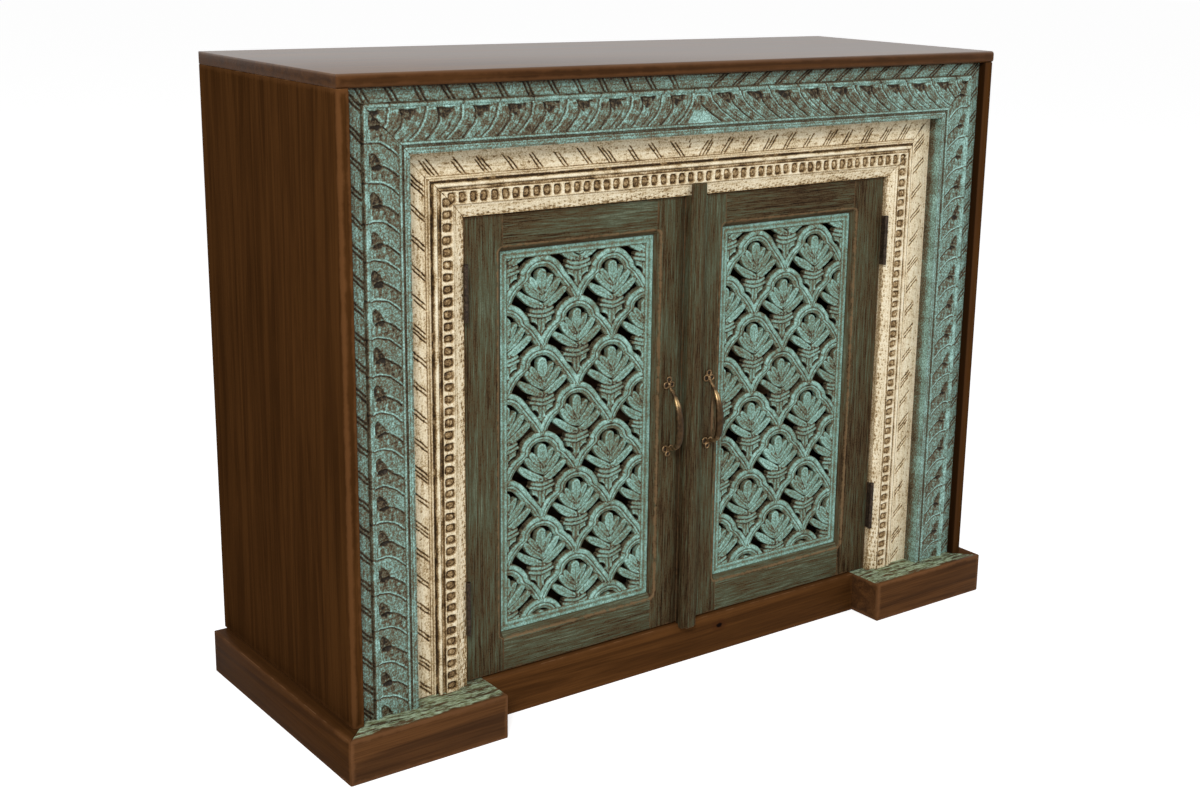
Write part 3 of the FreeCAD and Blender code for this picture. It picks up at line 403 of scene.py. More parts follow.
plain_x = raw_wood("raw_wood_across", 0)
plain_y = raw_wood("raw_wood_deep", 1)
plain_z = raw_wood("raw_wood_upright", 2)
back_stain = raw_wood("stained_back", 0, STAIN_DARK, STAIN_LIGHT)
for node, finish in (
    ("bottom_panel", plain_x), ("shelf", plain_x), ("door_stop_rail", plain_x), ("back_panel", back_stain),
    ("shelf_cleat_left", plain_y), ("shelf_cleat_right", plain_y), ("shelf_cleat_back", plain_x),
    ("plinth_glue_blocks", plain_z), ("left_door_panel_beads", plain_z), ("right_door_panel_beads", plain_z),
):
    coat(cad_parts[node], finish)


# Outer frame: two jambs and a header of one carved hardwood moulding, mitred at the corners.
# From outside in: a hatched strip, a bead, a band of slanted leaves, a rib, a quirk and a
# lip. Teal paint fills it and has worn to brown wood in its cuts and on its broad leaves.
# Its tone also holds painted highlights on ridges and rounds, and painted shade in cuts,
# hollows, on faces running back and under the top board.

def eased_step(share):
    """0 below 0, 1 above 1 and smooth between them."""
    share = np.clip(share, 0, 1)
    return share * share * (3 - 2 * share)


def near_line(across, along, line, half):
    """1 on a line of points, falling to 0 at half its width."""
    near = np.full(across.shape, 1e9)
    for (a, b), (c, d) in zip(line, line[1:]):
        run, rise = c - a, d - b
        share = np.clip(((across - a) * run + (along - b) * rise) / (run ** 2 + rise ** 2), 0, 1)
        near = np.minimum(near, np.hypot(across - a - share * run, along - b - share * rise))
    return eased_step(1 - near / half)


def ridge(place, middle, half):
    """1 at a place, falling to 0 at half a width from it."""
    return eased_step(1 - np.abs(place - middle) / half)


def chance(index, seed):
    """A steady random number from 0 to 1 for each whole index."""
    return np.mod(np.abs(np.sin(index * 12.9898 + seed * 78.233)) * 43758.5453, 1)


def ripple(across, along, seed):
    """The slow unevenness of hand work, about -1 to 1."""
    return (np.sin(across * 0.31 + along * 0.113 + seed) + np.sin(along * 0.071 - across * 0.17 + 2.3 * seed)
            + np.sin(along * 0.29 + across * 0.05 + 4.1 * seed)) / 3


def section_line(outline, pitch):
    """Points along a moulding's section, given as (distance in, depth) in millimetres."""
    line = [outline[0]]
    for (a, b), (c, d) in zip(outline, outline[1:]):
        fine = pitch if a != c else 3.0
        if b == d == outline[0][1]:
            fine = 30.0
        count = max(1, int(math.ceil(math.hypot(c - a, d - b) / fine)))
        for index in range(1, count + 1):
            line.append((a + (c - a) * index / count, b + (d - b) * index / count))
    return np.array(line)


def toned_grid(name, spots, tone):
    """A grid with a spot in millimetres and a tone, light or dark, at each of its points."""
    rows, columns = tone.shape
    unpick()
    bpy.ops.mesh.primitive_grid_add(x_subdivisions=columns - 1, y_subdivisions=rows - 1, calc_uvs=False)
    piece = bpy.context.object
    piece.name = name
    piece.data.vertices.foreach_set("co", (spots * 0.001).astype(np.float32).reshape(-1))
    layer = piece.data.attributes.new("tone", "FLOAT", "POINT")
    layer.data.foreach_set("value", tone.astype(np.float32).reshape(-1))
    return piece


def carved_bar(name, node, spots, tone, finish):
    """A grid wrapped round a moulding's section, closed at both ends."""
    piece = toned_grid(name, spots, tone)
    bpy.ops.object.mode_set(mode="EDIT")
    bpy.ops.mesh.select_mode(type="VERT")
    bpy.ops.mesh.select_all(action="SELECT")
    bpy.ops.mesh.remove_doubles(threshold=0.000001)
    bpy.ops.mesh.select_all(action="DESELECT")
    bpy.ops.mesh.select_non_manifold()
    bpy.ops.mesh.fill_holes(sides=0)
    bpy.ops.mesh.select_all(action="SELECT")
    bpy.ops.mesh.normals_make_consistent(inside=False)
    bpy.ops.object.mode_set(mode="OBJECT")
    bpy.ops.object.shade_smooth_by_angle(angle=math.radians(38))
    coat(piece, finish)
    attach(piece, "carcase")
    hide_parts(node)


CASE_HALF, CASE_TOP, FRAME_FOOT, CASE_FACE, HEADER_MIDDLE = 582.0, 932.0, 67.0, -201.0, -14.0
MITRE_SHADE, MITRE_HALF = 1.3, 0.9


def frame_bars(label, title, line, pitches, carve, finish):
    """Two jambs and a header with one section, carved by a function of place."""
    inward, depth = line[:, 0], line[:, 1]
    for hand, side in ((-1, "left"), (1, "right")):
        rows = int((CASE_TOP - FRAME_FOOT - inward.min()) / pitches[0])
        share = np.linspace(0, 1, rows)[:, None]
        up = FRAME_FOOT + share * (CASE_TOP - inward - FRAME_FOOT)
        across = np.broadcast_to(inward, up.shape)
        raised, tone = carve(across, CASE_TOP - up, side)
        tone = tone - MITRE_SHADE * eased_step(1 - (CASE_TOP - up - across) / MITRE_HALF)
        front = np.broadcast_to(depth, up.shape) - raised
        spots = np.stack((hand * (CASE_HALF - across), CASE_FACE + front, up), 2)
        carved_bar(f"{title}_{side}", f"{label}_{side}", spots, tone, finish[0])
    rows = int(2 * (CASE_HALF - inward.min()) / pitches[1]) // 2 * 2 + 1
    share = np.linspace(-1, 1, rows)[:, None]
    out = share * (CASE_HALF - inward)
    across = np.broadcast_to(inward, out.shape)
    halves = [carve(across, np.abs(out - HEADER_MIDDLE), half) for half in ("header_left", "header_right")]
    raised, tone = (np.where(out < HEADER_MIDDLE, left, right) for left, right in zip(*halves))
    tone = tone - MITRE_SHADE * eased_step(1 - (CASE_HALF - across - np.abs(out)) / MITRE_HALF)
    front = np.broadcast_to(depth, out.shape) - raised
    spots = np.stack((out, CASE_FACE + front, CASE_TOP - across), 2)
    carved_bar(f"{title}_header", f"{label}_header", spots, tone, finish[1])


# Millimetres: across runs in from the outer edge, along runs from the mitre or the middle.
TEAL_SECTION = ((0, 35), (0, 15), (21, 15), (21, 10.2), (27, 10.2), (72, 10.2), (72, 9.6), (76, 9.6),
                (76, 11), (79, 11), (79, 9.5), (88, 9.5), (88, 35), (0, 35))
LEAF_TOP = ((33, 1.5), (38, -1), (46, -2.5), (53, 0), (59, 3.7), (66, 8.5), (73, 14.5))
LEAF_FOOT = ((27.5, 18.5), (32, 17), (40, 17), (46, 18), (54, 21), (61, 25.5), (68, 31.5), (73, 36))
LEAF_HOOK = ((33, 1.5), (31.5, 5), (31.2, 10), (33, 15))
LEAF_PITCH = 51.0
# For each side: the leaves' pitch and slant, and the pitch and slope of the strip's hatching.
TEAL_CUTS = {
    "left": (51.0, 0.0, 38.0, 0.95), "right": (51.0, 0.12, 38.0, 0.95),
    "header_left": (55.0, 0.15, 41.5, -0.6), "header_right": (58.0, 0.62, 41.5, -1.3),
}


def carve_teal(across, along, side):
    """How far the frame's face stands out at each spot, and its tone: paint and wear, with painted highlights
    and painted shade.
    """
    pitch, slant, strip_pitch, strip_slope = TEAL_CUTS[side]
    uneven = ripple(across, along, len(side))
    raised = np.zeros(across.shape)
    tone = np.zeros(across.shape)
    header = side.startswith("header")
    band = eased_step((across - 26.5) / 1.5) * eased_step((72.2 - across) / 1.2)
    run = (along + (6 if header else -1)) * LEAF_PITCH / pitch + uneven * 1.2 - slant * (across - 27)
    turn = np.floor(run / LEAF_PITCH)
    cell = np.mod(run, LEAF_PITCH) + (chance(turn, 1) - 0.5) * 2.0 * band
    inset = across + (chance(turn, 2) - 0.5) * 1.6 + uneven * 0.6
    top_line = np.interp(inset, *zip(*LEAF_TOP))
    foot_line = np.interp(inset, *zip(*LEAF_FOOT))
    rough = ripple(across * 9.1, along * 7.3, 3.0) * ripple(across * 5.3, along * 11.9, 1.7)
    mottle = ripple(across * 2.3, along * 2.1, 6.0) + 0.8 * ripple(across * 4.7, along * 4.1, 2.0)
    blotch = ripple(across * 1.3, along * 1.5, 11.0) + 0.35 * mottle
    for shift in (-LEAF_PITCH, 0, LEAF_PITCH):
        spot = cell + shift
        drop = spot + 9
        dark_top = near_line(inset, spot, LEAF_TOP, 2.3)
        light_top = near_line(inset, spot + 3.0, LEAF_TOP, 1.5)
        light_foot = near_line(inset, spot, LEAF_FOOT, 1.6)
        dark_foot = near_line(inset, spot - 2.4, LEAF_FOOT, 1.7)
        hook = near_line(inset, spot, LEAF_HOOK, 1.4)
        body = (eased_step((spot - top_line - 1) / 2) * eased_step((foot_line - spot - 1) / 2)
                * eased_step((inset - 31.5) / 2))
        face = eased_step((spot - foot_line - 3) / 4) * eased_step((top_line + LEAF_PITCH - 4 - spot) / 4)
        if header:
            wide = 15 * np.clip(1 - (inset - 31) / 15, 0, 1) ** 0.7
            hollow = eased_step((wide - np.abs(drop)) / 3) * eased_step((inset - 29.5) / 1.5)
            vein = near_line(inset, spot - 13.5, LEAF_FOOT, 1.5) * eased_step((inset - 38) / 6)
            stroke = ripple((spot - foot_line) * 5, inset * 1.4, 6.0 + 5 * chance(turn, 8))
            worn = (hollow * (0.5 * mottle - 1.45) - 1.2 * vein + face * (0.95 * stroke + 0.3 * mottle + 0.02)
                    + body * (0.5 * blotch + 0.9 * stroke - 0.35))
        else:
            ring = np.hypot((inset - 37.5 - 0.3 * drop) / (6.6 + 0.2 * drop), drop / 9.5)
            hollow = eased_step((1.3 - ring) / 0.35)
            vein = 0
            brow = ridge(ring, 1.15, 0.22) * eased_step((inset - 32) / 3)
            worn = (hollow * (0.5 * mottle - 1.15) - 0.9 * brow + face * (0.3 * mottle + 0.08)
                    + body * (0.7 * mottle - 0.38))
        # Tone of the leaves: light lines on their raised edges are painted highlights; dark lines, and the
        # hollows in the worn term, are brown wood and painted shade.
        raised += band * (0.7 * light_top + 1.1 * light_foot + 0.7 * hook - 1.5 * dark_top - 1.3 * dark_foot
                          - 2.8 * hollow + 0.5 * body + 0.4 * face - 0.9 * vein)
        tone += band * (0.75 * light_top + 1.3 * light_foot + 0.9 * hook - 1.6 * dark_top - 1.4 * dark_foot
                        + worn)
    beside = eased_step(1 - np.abs(np.mod(cell + 9 + LEAF_PITCH / 2, LEAF_PITCH) - LEAF_PITCH / 2) / 15)
    scallop = eased_step((28.6 + 2.6 * beside - inset) / 1.4) * eased_step((across - 26.9) / 0.6)
    raised = np.clip(raised - 0.6 * band, -4.2, 1.9) + 0.8 * scallop + band * rough * 0.25
    tone = tone + scallop * (0.3 + 0.45 * beside - np.minimum(tone, 0))
    patch = (header & (along < 40)) * band * eased_step((inset - 52) / 2.5) * eased_step(
        (14 + 0.6 * (inset - 54) - along) / 2.5)
    raised = raised * (1 - patch) - 0.3 * patch
    tone = tone * (1 - patch) + 0.95 * patch

    bead = (across > 20.9) & (across < 27.1)
    swell = np.clip((across - 24) / 3, -1, 1)
    nick = ridge(cell, 19, 1.8)
    crown = 2.1 * np.sqrt(np.clip(1 - swell ** 2, 0, 1)) * (1 - 0.55 * nick)
    raised = np.where(bead, crown - 0.15 + 0.15 * uneven, raised)
    tone = np.where(bead, 0.35 + 0.45 * beside - 1.6 * nick - 1.4 * eased_step((-0.3 - swell) / 0.6)
                    + 0.35 * uneven, tone)

    strip = (across < 20.99) & (across > 0.01)
    hatch = np.mod(along - strip_slope * across + 40 + uneven, strip_pitch)
    half = 2.3 * math.hypot(1, strip_slope) ** 0.6
    cuts = np.maximum(*(eased_step(1.15 - np.abs(hatch - spot) / half) for spot in (6.0, 13.2)))
    if header:
        cuts = cuts * eased_step((along - 13) / 3)
    lines = sum(ridge(across - uneven, spot, 0.9) for spot in (5.5, 10.5, 15.5))
    lines = lines * eased_step((np.abs(hatch - 9.6) - 6) / 3) * (ripple(along, across * 4, 5.0) > -0.2)
    raised = np.where(strip, -1.7 * cuts - 0.5 * lines, raised)
    # The strip is painted darker along its outer edge and, on the header, under the top board: painted
    # shadow.
    tone = np.where(strip, 0.12 - 1.75 * cuts - 0.8 * lines - 0.8 * eased_step(1 - across / 2.5)
                    - 0.5 * eased_step((across - 19.4) / 1.6) - header * 1.6 * eased_step(1 - across / 4.5)
                    + 0.2 * uneven, tone)

    rib = (across > 71.99) & (across < 76.01)
    raised = np.where(rib, 1.45 * np.sqrt(np.clip(1 - ((across - 74) / 2) ** 2, 0, 1)), raised)
    # The rib's crown is painted lighter and its sides darker: painted light and shade.
    tone = np.where(rib, 0.55 - 1.1 * np.abs((across - 74) / 2) ** 4 + 0.3 * uneven, tone)
    quirk = (across > 76.01) & (across < 79.01)
    tone = np.where(quirk, -0.6 - 0.7 * ridge(across, 78.6, 0.9), tone)
    lip = across > 79.01
    raised = np.where(lip & (across < 87.99), -0.5 * np.abs((across - 83.5) / 4.5) ** 4, raised)
    tone = np.where(lip, 0.35 + 0.3 * uneven - 0.8 * ridge(across, 82.2, 0.8)
                    - 0.9 * ridge(across, 86.6, 0.9), tone)
    return raised, tone


def worn_paint(name, stops, along, dust, flecks, patch, streaks, depth=0.22, deep=0.0):
    """Paint over brown wood: the carving's tone, flecks and streaks pick the colour; low tones reach near
    black as painted shade, high tones hold painted highlights.
    """
    finish, place = new_finish(name)
    tone = place.node("ShaderNodeAttribute", {"attribute_name": "tone"}, {}, 2)
    speckle = place.cloud(330.0, 6.0, 0.72)
    fleck = place.cloud(460.0, 2.0, 0.5).rise(0.43, 0.60)
    broad = place.cloud(22.0, 4.0, 0.6)
    streak = place.drawn(along, 14.0, 260.0).cloud(1.0, 5.0, 0.65, 0.4)
    level = tone * depth + (speckle - 0.5) * dust + (broad - 0.5) * patch + (streak - 0.5) * streaks + 0.5
    # Faces that run back from the front are painted darker by deep: painted shade.
    level = level + (fleck - 0.5) * flecks - place.axis(1).rise(-0.186, -0.170) * deep
    # Spots right of x = 0.34 m are painted a little lighter: painted light.
    level = level + place.axis(0).rise(0.34, 0.44) * 0.045
    colour = level.node("ShaderNodeValToRGB", {"stops": stops}, {"Fac": level})
    fine = place.cloud(900.0, 3.0, 0.6)
    surface(place, colour, (speckle - 0.5) * 0.3 + 0.6, speckle * 0.8 + fine * 0.35, 0.0006, 0.22)
    return finish


TEAL_STOPS = (
    (0.08, (0.012, 0.008, 0.004)), (0.24, (0.055, 0.036, 0.018)), (0.37, (0.125, 0.093, 0.052)),
    (0.46, (0.115, 0.140, 0.098)), (0.56, (0.165, 0.255, 0.208)), (0.68, (0.260, 0.430, 0.378)),
    (0.86, (0.440, 0.700, 0.650)),
)
teal_finish = [worn_paint(f"worn_teal_paint_{way}", TEAL_STOPS, along, 0.80, 0.17, 0.36, 0.34, deep=0.28)
               for way, along in (("upright", 2), ("header", 0))]
frame_bars("outer_frame", "leaf_frame", section_line(TEAL_SECTION, 1.15), (1.3, 1.5), carve_teal, teal_finish)


# Face frame: three flat hardwood boards behind the carved frame, mitred, painted cream.
# Groups of short slanted cuts cross its flat band, and the brown wood shows in them.

FACE_SECTION = ((0, 65), (0, 35), (84, 35), (126, 35), (181, 35), (181, 65), (0, 65))
# For each side: the pitch and slope of the groups of cuts.
CREAM_CUTS = {
    "left": (40.0, 0.9), "right": (40.0, 0.9), "header_left": (41.5, -0.85), "header_right": (41.5, -0.75),
}


def carve_cream(across, along, side):
    """The face frame's cuts and chips, and how light its paint is."""
    pitch, slope = CREAM_CUTS[side]
    uneven = ripple(across, along, len(side) + 2)
    place = along - slope * across + 60 + 0.8 * uneven
    turn = np.floor(place / pitch)
    hatch = np.mod(place, pitch)
    band = eased_step((across - 88) / 2) * eased_step((123.0 - across) / 1.5)
    wide = 1.65 * math.hypot(1, slope)
    cuts = np.zeros(across.shape)
    for index, spot in enumerate((6.0, 12.5, 18.0)):
        there = 1.0 if index < 2 else chance(turn, 7) > (0.5 if side == "header_right" else 0.86)
        reach = eased_step((across - 97 - 7 * chance(turn, 3 + index)) / 2.5)
        cuts = np.maximum(cuts, ridge(hatch, spot, wide) * there * reach)
    edge = ridge(across, 123.6, 1.1)
    wear = ripple(across * 3.3, along * 1.7, 8.0) + 0.5 * ripple(across * 7, along * 6, 2.0)
    chips = eased_step((wear - 0.62) / 0.2)
    front = (across > 84.5) & (across < 125.9)
    raised = np.where(front, -1.7 * cuts * band - 0.6 * edge - 0.35 * chips * band, 0)
    tone = np.where(front, 0.3 - 2.3 * cuts * band - 1.4 * edge - 0.9 * chips * band + 0.2 * uneven, 0.15)
    tone = np.where(across > 180.5, -0.35, tone)
    return raised, tone


CREAM_STOPS = (
    (0.08, (0.024, 0.013, 0.005)), (0.22, (0.110, 0.062, 0.024)), (0.34, (0.270, 0.170, 0.070)),
    (0.44, (0.480, 0.350, 0.190)), (0.54, (0.740, 0.610, 0.400)), (0.72, (0.920, 0.820, 0.610)),
    (0.90, (0.980, 0.920, 0.740)),
)


def sparse_line(outline, pitch, low, high):
    """Section points that are close only between two distances in."""
    full = section_line(outline, pitch)
    keep = [0]
    for index in range(1, len(full) - 1):
        far = np.hypot(*(full[index] - full[keep[-1]])) > 14
        corner = tuple(full[index]) in [(float(a), float(b)) for a, b in outline]
        busy = low <= full[index][0] <= high and full[index][1] == outline[1][1]
        if busy or far or corner:
            keep.append(index)
    return full[keep + [len(full) - 1]]


cream_finish = [worn_paint(f"worn_cream_paint_{way}", CREAM_STOPS, along, 0.60, 0.11, 0.34, 0.55)
                for way, along in (("upright", 2), ("header", 0))]
frame_bars("face_frame", "cream_frame", sparse_line(FACE_SECTION, 1.3, 88, 126), (1.4, 1.5), carve_cream,
           cream_finish)


# Inner moulding: a slim mitred hardwood moulding glued on the face frame round the doors.
# It has a quirk, a round, a groove, a band of sunk squares with a small bead in each, and
# a sloping rim that is chipped along the doors. Painted cream and rubbed down to brown. The
# round and the beads are painted lighter as painted highlights, and the groove, the sunk
# squares and the rim's edges darker, brown wood with painted shade.

BEAD_SECTION = ((126, 35), (126, 31), (132.5, 33), (132.5, 31), (138.5, 31), (143, 31), (143, 27),
                (162.5, 27), (162.5, 28.5), (181, 34.25), (181, 35), (126, 35))
BEAD_PITCH = 17.0


def carve_beads(across, along, side):
    """The inner moulding's round, sunk beads and chipped rim, and its tone: paint and wear, with painted
    highlights and painted shade.
    """
    u = across - 126
    uneven = ripple(across, along, len(side) + 5)
    front = (u > 0.01) & (u < 54.9)
    raised = np.zeros(across.shape)
    tone = np.full(across.shape, 0.2)
    dark = eased_step((ripple(u * 2, along * 0.9, 4.0) + 0.75) / 0.5)
    tone = np.where(u < 6.5, 0.25 - (1.0 + 1.1 * dark) * eased_step((u - 2.2) / 1.5), tone)
    round_bar = (u > 6.49) & (u < 12.51)
    raised = np.where(round_bar, 3.9 * np.sqrt(np.clip(1 - ((u - 9.5) / 3) ** 2, 0, 1)), raised)
    stain = eased_step((ripple(u * 1.4, along * 0.55, 7.0) + 0.1) / 0.5)
    # The round is painted lighter on its crown and darker at its sides: painted light and shade.
    tone = np.where(round_bar, 0.7 - 1.5 * np.abs((u - 9.5) / 3) ** 5 + 0.35 * uneven - 0.45 * stain, tone)
    tone = np.where((u > 12.51) & (u < 17.01), -0.2 - 0.6 * stain - 1.0 * eased_step(1 - (u - 12.5) / 1.6)
                    - 0.6 * eased_step((u - 15.4) / 1.6) + 0.3 * uneven, tone)
    place = along + 0.8 * uneven + (8.5 if side.startswith("header") else 3)
    turn = np.floor(place / BEAD_PITCH)
    spot = np.mod(place, BEAD_PITCH) - BEAD_PITCH / 2 + (chance(turn, 4) - 0.5)
    side_spot = u - 27.0 + (chance(turn, 5) - 0.5) * 0.8
    square = (np.abs(side_spot / 7.9) ** 4 + np.abs(spot / 6.2) ** 4) ** 0.25
    sunk = eased_step((1.07 - square) / 0.2)
    ball = np.clip(1 - np.hypot(side_spot / 6.2, spot / 4.9) ** 2, 0, 1)
    gold = 0.35 * ripple(across * 3, along * 2.6, 9.0)
    ladder = (u > 17.01) & (u < 36.49) & (along < (CASE_TOP - FRAME_FOOT - 4))
    raised = np.where(ladder, -4.2 * sunk + 3.5 * np.sqrt(ball) * sunk, raised)
    # Sunk squares painted dark and their beads lighter: brown wood with painted shade in the hollows, a
    # painted highlight on the beads.
    tone = np.where(ladder, 0.4 - 1.65 * sunk + (0.55 + gold) * eased_step(ball / 0.7)
                    - 0.8 * eased_step(1 - (u - 17) / 1.0) + 0.25 * uneven, tone)
    rim = (u > 36.49) & (u < 54.99)
    chips = eased_step((ripple(across * 4, along * 2.6, 6.0) + ripple(across * 8, along * 7, 3.0) * 0.6
                        + (u - 50) * 0.06 - 0.22 + 0.5 * eased_step((along - 700) / 120)) / 0.25)
    raised = np.where(rim, -0.8 * chips - 0.7 * eased_step((u - 53.6) / 1.4), raised)
    tone = np.where(rim, 0.42 - 1.0 * chips - 1.3 * eased_step(1 - (u - 36.5) / 1.3)
                    - 0.8 * eased_step((u - 52.8) / 2.0) - 0.8 * ridge(u, 41, 0.8) + 0.25 * uneven, tone)
    return np.where(front, raised, 0), np.where(front, tone, -0.3)


frame_bars("bead_moulding", "bead_frame", section_line(BEAD_SECTION, 0.95), (1.15, 1.25), carve_beads,
           cream_finish)


# Door frames: two stiles and two rails a door, hardwood, mortised and tenoned, with a
# moulded edge cut round the panel. Grey-green paint is worn into streaks along the grain,
# down to brown wood on the arris round the panel and on the outer edges.

PANEL_MID, MOUTH_HALF, MOUTH_LOW, MOUTH_HIGH, MOUTH_TURN = 0.200, 0.142, 0.120, 0.703, 0.009
DOOR_STOPS = (
    (0.12, (0.012, 0.007, 0.003)), (0.30, (0.048, 0.026, 0.011)), (0.42, (0.082, 0.056, 0.026)),
    (0.53, (0.072, 0.072, 0.040)), (0.70, (0.105, 0.120, 0.076)), (0.90, (0.190, 0.215, 0.145)),
)
BARE_DOOR_EDGE, SUNK_BROWN = (0.135, 0.072, 0.034), (0.075, 0.050, 0.026)
# The first colour is a painted shadow for the left door's inner stile.
COVER_STRIP_SHADOW, RUBBED_BARE = (0.016, 0.010, 0.005), (0.300, 0.175, 0.090)
ARRIS_DARK, ARRIS_LIGHT = (0.130, 0.078, 0.036), (0.300, 0.185, 0.095)


def mouth_distance(place, hand):
    """Distance to the rounded rectangle where the moulded edge meets the door's face."""
    middle, half = (MOUTH_LOW + MOUTH_HIGH) / 2, (MOUTH_HIGH - MOUTH_LOW) / 2
    aside = (place.axis(0) - hand * PANEL_MID).size() - (MOUTH_HALF - MOUTH_TURN)
    above = (place.axis(2) - middle).size() - (half - MOUTH_TURN)
    return aside.most(0).reach(above.most(0)) + aside.most(above).least(0) - MOUTH_TURN


def door_finish(name, node, along, hand, brown):
    """Grey-green paint in streaks, and brown wood where it is rubbed off."""
    finish, place = new_finish(name)
    low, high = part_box(node)
    streak = place.drawn(along, 8.0, 310.0).cloud(1.0, 6.0, 0.7, 0.6)
    scratch = place.drawn(along, 30.0, 680.0).cloud(1.0, 4.0, 0.65)
    broad = place.drawn(along, 3.0, 11.0).cloud(1.0, 4.0, 0.6)
    level = (streak - 0.5) * 1.2 + (scratch - 0.5) * 1.1 + (broad - 0.5) * 0.9 + 0.52 - brown
    level = level + (place.cloud(480.0, 3.0, 0.6).rise(0.36, 0.5) - 0.9) * 0.12
    colour = level.node("ShaderNodeValToRGB", {"stops": DOOR_STOPS}, {"Fac": level})
    edge = edge_reach(place, low, high)
    rubbed = place.cloud(120.0, 5.0, 0.65)
    bare = ((rubbed - 0.35) * 0.010 - edge).rise(-0.001, 0.0025)
    colour = (bare * 0.8).tint(colour, BARE_DOOR_EDGE)
    mouth = mouth_distance(place, hand)
    arris = (mouth.size() * -1 + (rubbed - 0.36) * 0.010).rise(-0.0014, 0.0010)
    front = place.axis(1).rise(-0.1480, -0.1530)
    colour = (arris * front * 0.8).tint(colour, (streak - 0.2).tint(ARRIS_DARK, ARRIS_LIGHT))
    sunk = mouth.rise(-0.0008, -0.003) * front
    colour = (sunk * rubbed.rise(0.35, 0.6) * 0.3).tint(colour, SUNK_BROWN)
    if name.endswith("left_door_meeting_stile"):
        # Painted shadow beside the cover strip, on the left door's inner stile.
        cover_strip_shadow = (place.axis(0) + (rubbed - 0.5) * 0.008).rise(-0.026, -0.012)
        colour = (cover_strip_shadow * front * 0.7).tint(colour, COVER_STRIP_SHADOW)
    if name.endswith("right_door_meeting_stile"):
        aside = (place.axis(0) - 0.0488 + (rubbed - 0.5) * 0.006) * 12.0
        far = aside.reach(place.axis(2) - 0.397) + (rubbed - 0.5) * 0.03
        colour = (far.rise(0.036, 0.018) * front * 0.42).tint(colour, RUBBED_BARE)
    surface(place, colour, (streak - 0.5) * 0.4 + 0.55, streak * 1.2 + scratch * 0.8, 0.0007, 0.05)
    return finish


for hand, side in ((-1, "left"), (1, "right")):
    for part, along, brown in (("hinge_stile", 2, 0.055), ("meeting_stile", 2, 0.07), ("top_rail", 0, 0.07),
                               ("bottom_rail", 0, -0.04)):
        node = f"{side}_door_{part}"
        board = eased_copy(node, node + "_board", 0.0008, f"{side}_door")
        coat(board, door_finish("door_paint_" + node, node, along, hand, brown))


# Cover strip: a hardwood strip with a bead down each side, glued on the right door's inner
# stile, which hides the joint between the doors. Its paint is rubbed off along its edges.

strip = eased_copy("right_door_astragal", "cover_strip", 0.0010, "right_door")
coat(strip, door_finish("door_paint_strip", "right_door_astragal", 2, 1, 0.08))


# Lattice panels: a pierced and carved board in each door, loose in its rebate. Rows of
# pointed arches with a double ridge stand on each other's shoulders, each round a sprig of
# five leaves over a ribbed cup. A flat border runs round it, and it is painted pale teal.
# Its tone holds painted highlights on ridges and rims and painted shade in creases,
# grooves and at the edges of the piercings.

ARCH_HALF, ARCH_RISE, FIRST_CROWN = 61.35, 64.9, 684.0
FIELD_HALF, FIELD_LOW, FIELD_HIGH = 121.0, 141.0, 682.0
# A stroke is a row of (aside, below the arch's crown, half width) in millimetres.
ARCH = (
    (-60, -70, 7), (-55.5, -58, 7.4), (-49.5, -49.5, 7.6), (-43, -43, 7.6), (-36, -38, 7.6),
    (-30.5, -31, 8.4), (-27, -23, 8.6), (-20, -15.5, 8.4), (-10, -10.8, 8.2), (0, -9.6, 8.2),
    (10, -10.8, 8.2), (19, -15.8, 8.2), (26.5, -23.5, 8.2), (32.5, -31.5, 8.0), (39, -39.5, 7.6),
    (45.5, -47, 7.6), (52, -55, 7.6), (58.5, -65, 7.2), (60.5, -70, 7),
)
LEAVES = (
    ((0, -62, 4), (-0.5, -48, 7.6), (-0.5, -37, 8.6), (-0.5, -28.5, 7.8)),
    ((-1, -58, 3), (-9, -48, 5.6), (-15.5, -39.5, 5.2), (-19, -35, 3.4)),
    ((2, -57, 3), (8.5, -47, 5.4), (14, -37.5, 5.0), (16.5, -33.5, 3.2)),
    ((1, -67, 3), (-10, -58, 6.3), (-20, -49, 6.3), (-26.5, -41.5, 4.2)),
    ((3, -68, 3), (13, -59, 6.3), (22.5, -49.5, 6.3), (29.5, -41, 4.4)),
    ((0, -77, 4), (-12, -71.5, 6.0), (-25, -64, 6.3), (-37, -55.5, 4.2)),
    ((4, -77.5, 4), (17, -71, 6.2), (29, -63, 6.4), (41, -54, 4.4)),
)
CUP_RIBS = (
    ((0, -84.5, 3.8), (10, -82.8, 3.8), (18, -80, 3.0)),
    ((0, -91, 3.8), (10, -89.2, 3.6), (20.5, -86, 3.0)),
)
STEM = ((0, -92, 18), (0, -102, 17), (0, -112, 9), (0, -118, 5.5), (0, -123, 3))
EYE_ASIDE, EYE_DOWN, EYE_LONG, EYE_TALL = 13.0, -104.0, 7.4, 4.3
LATTICE_PITCH = 1.3


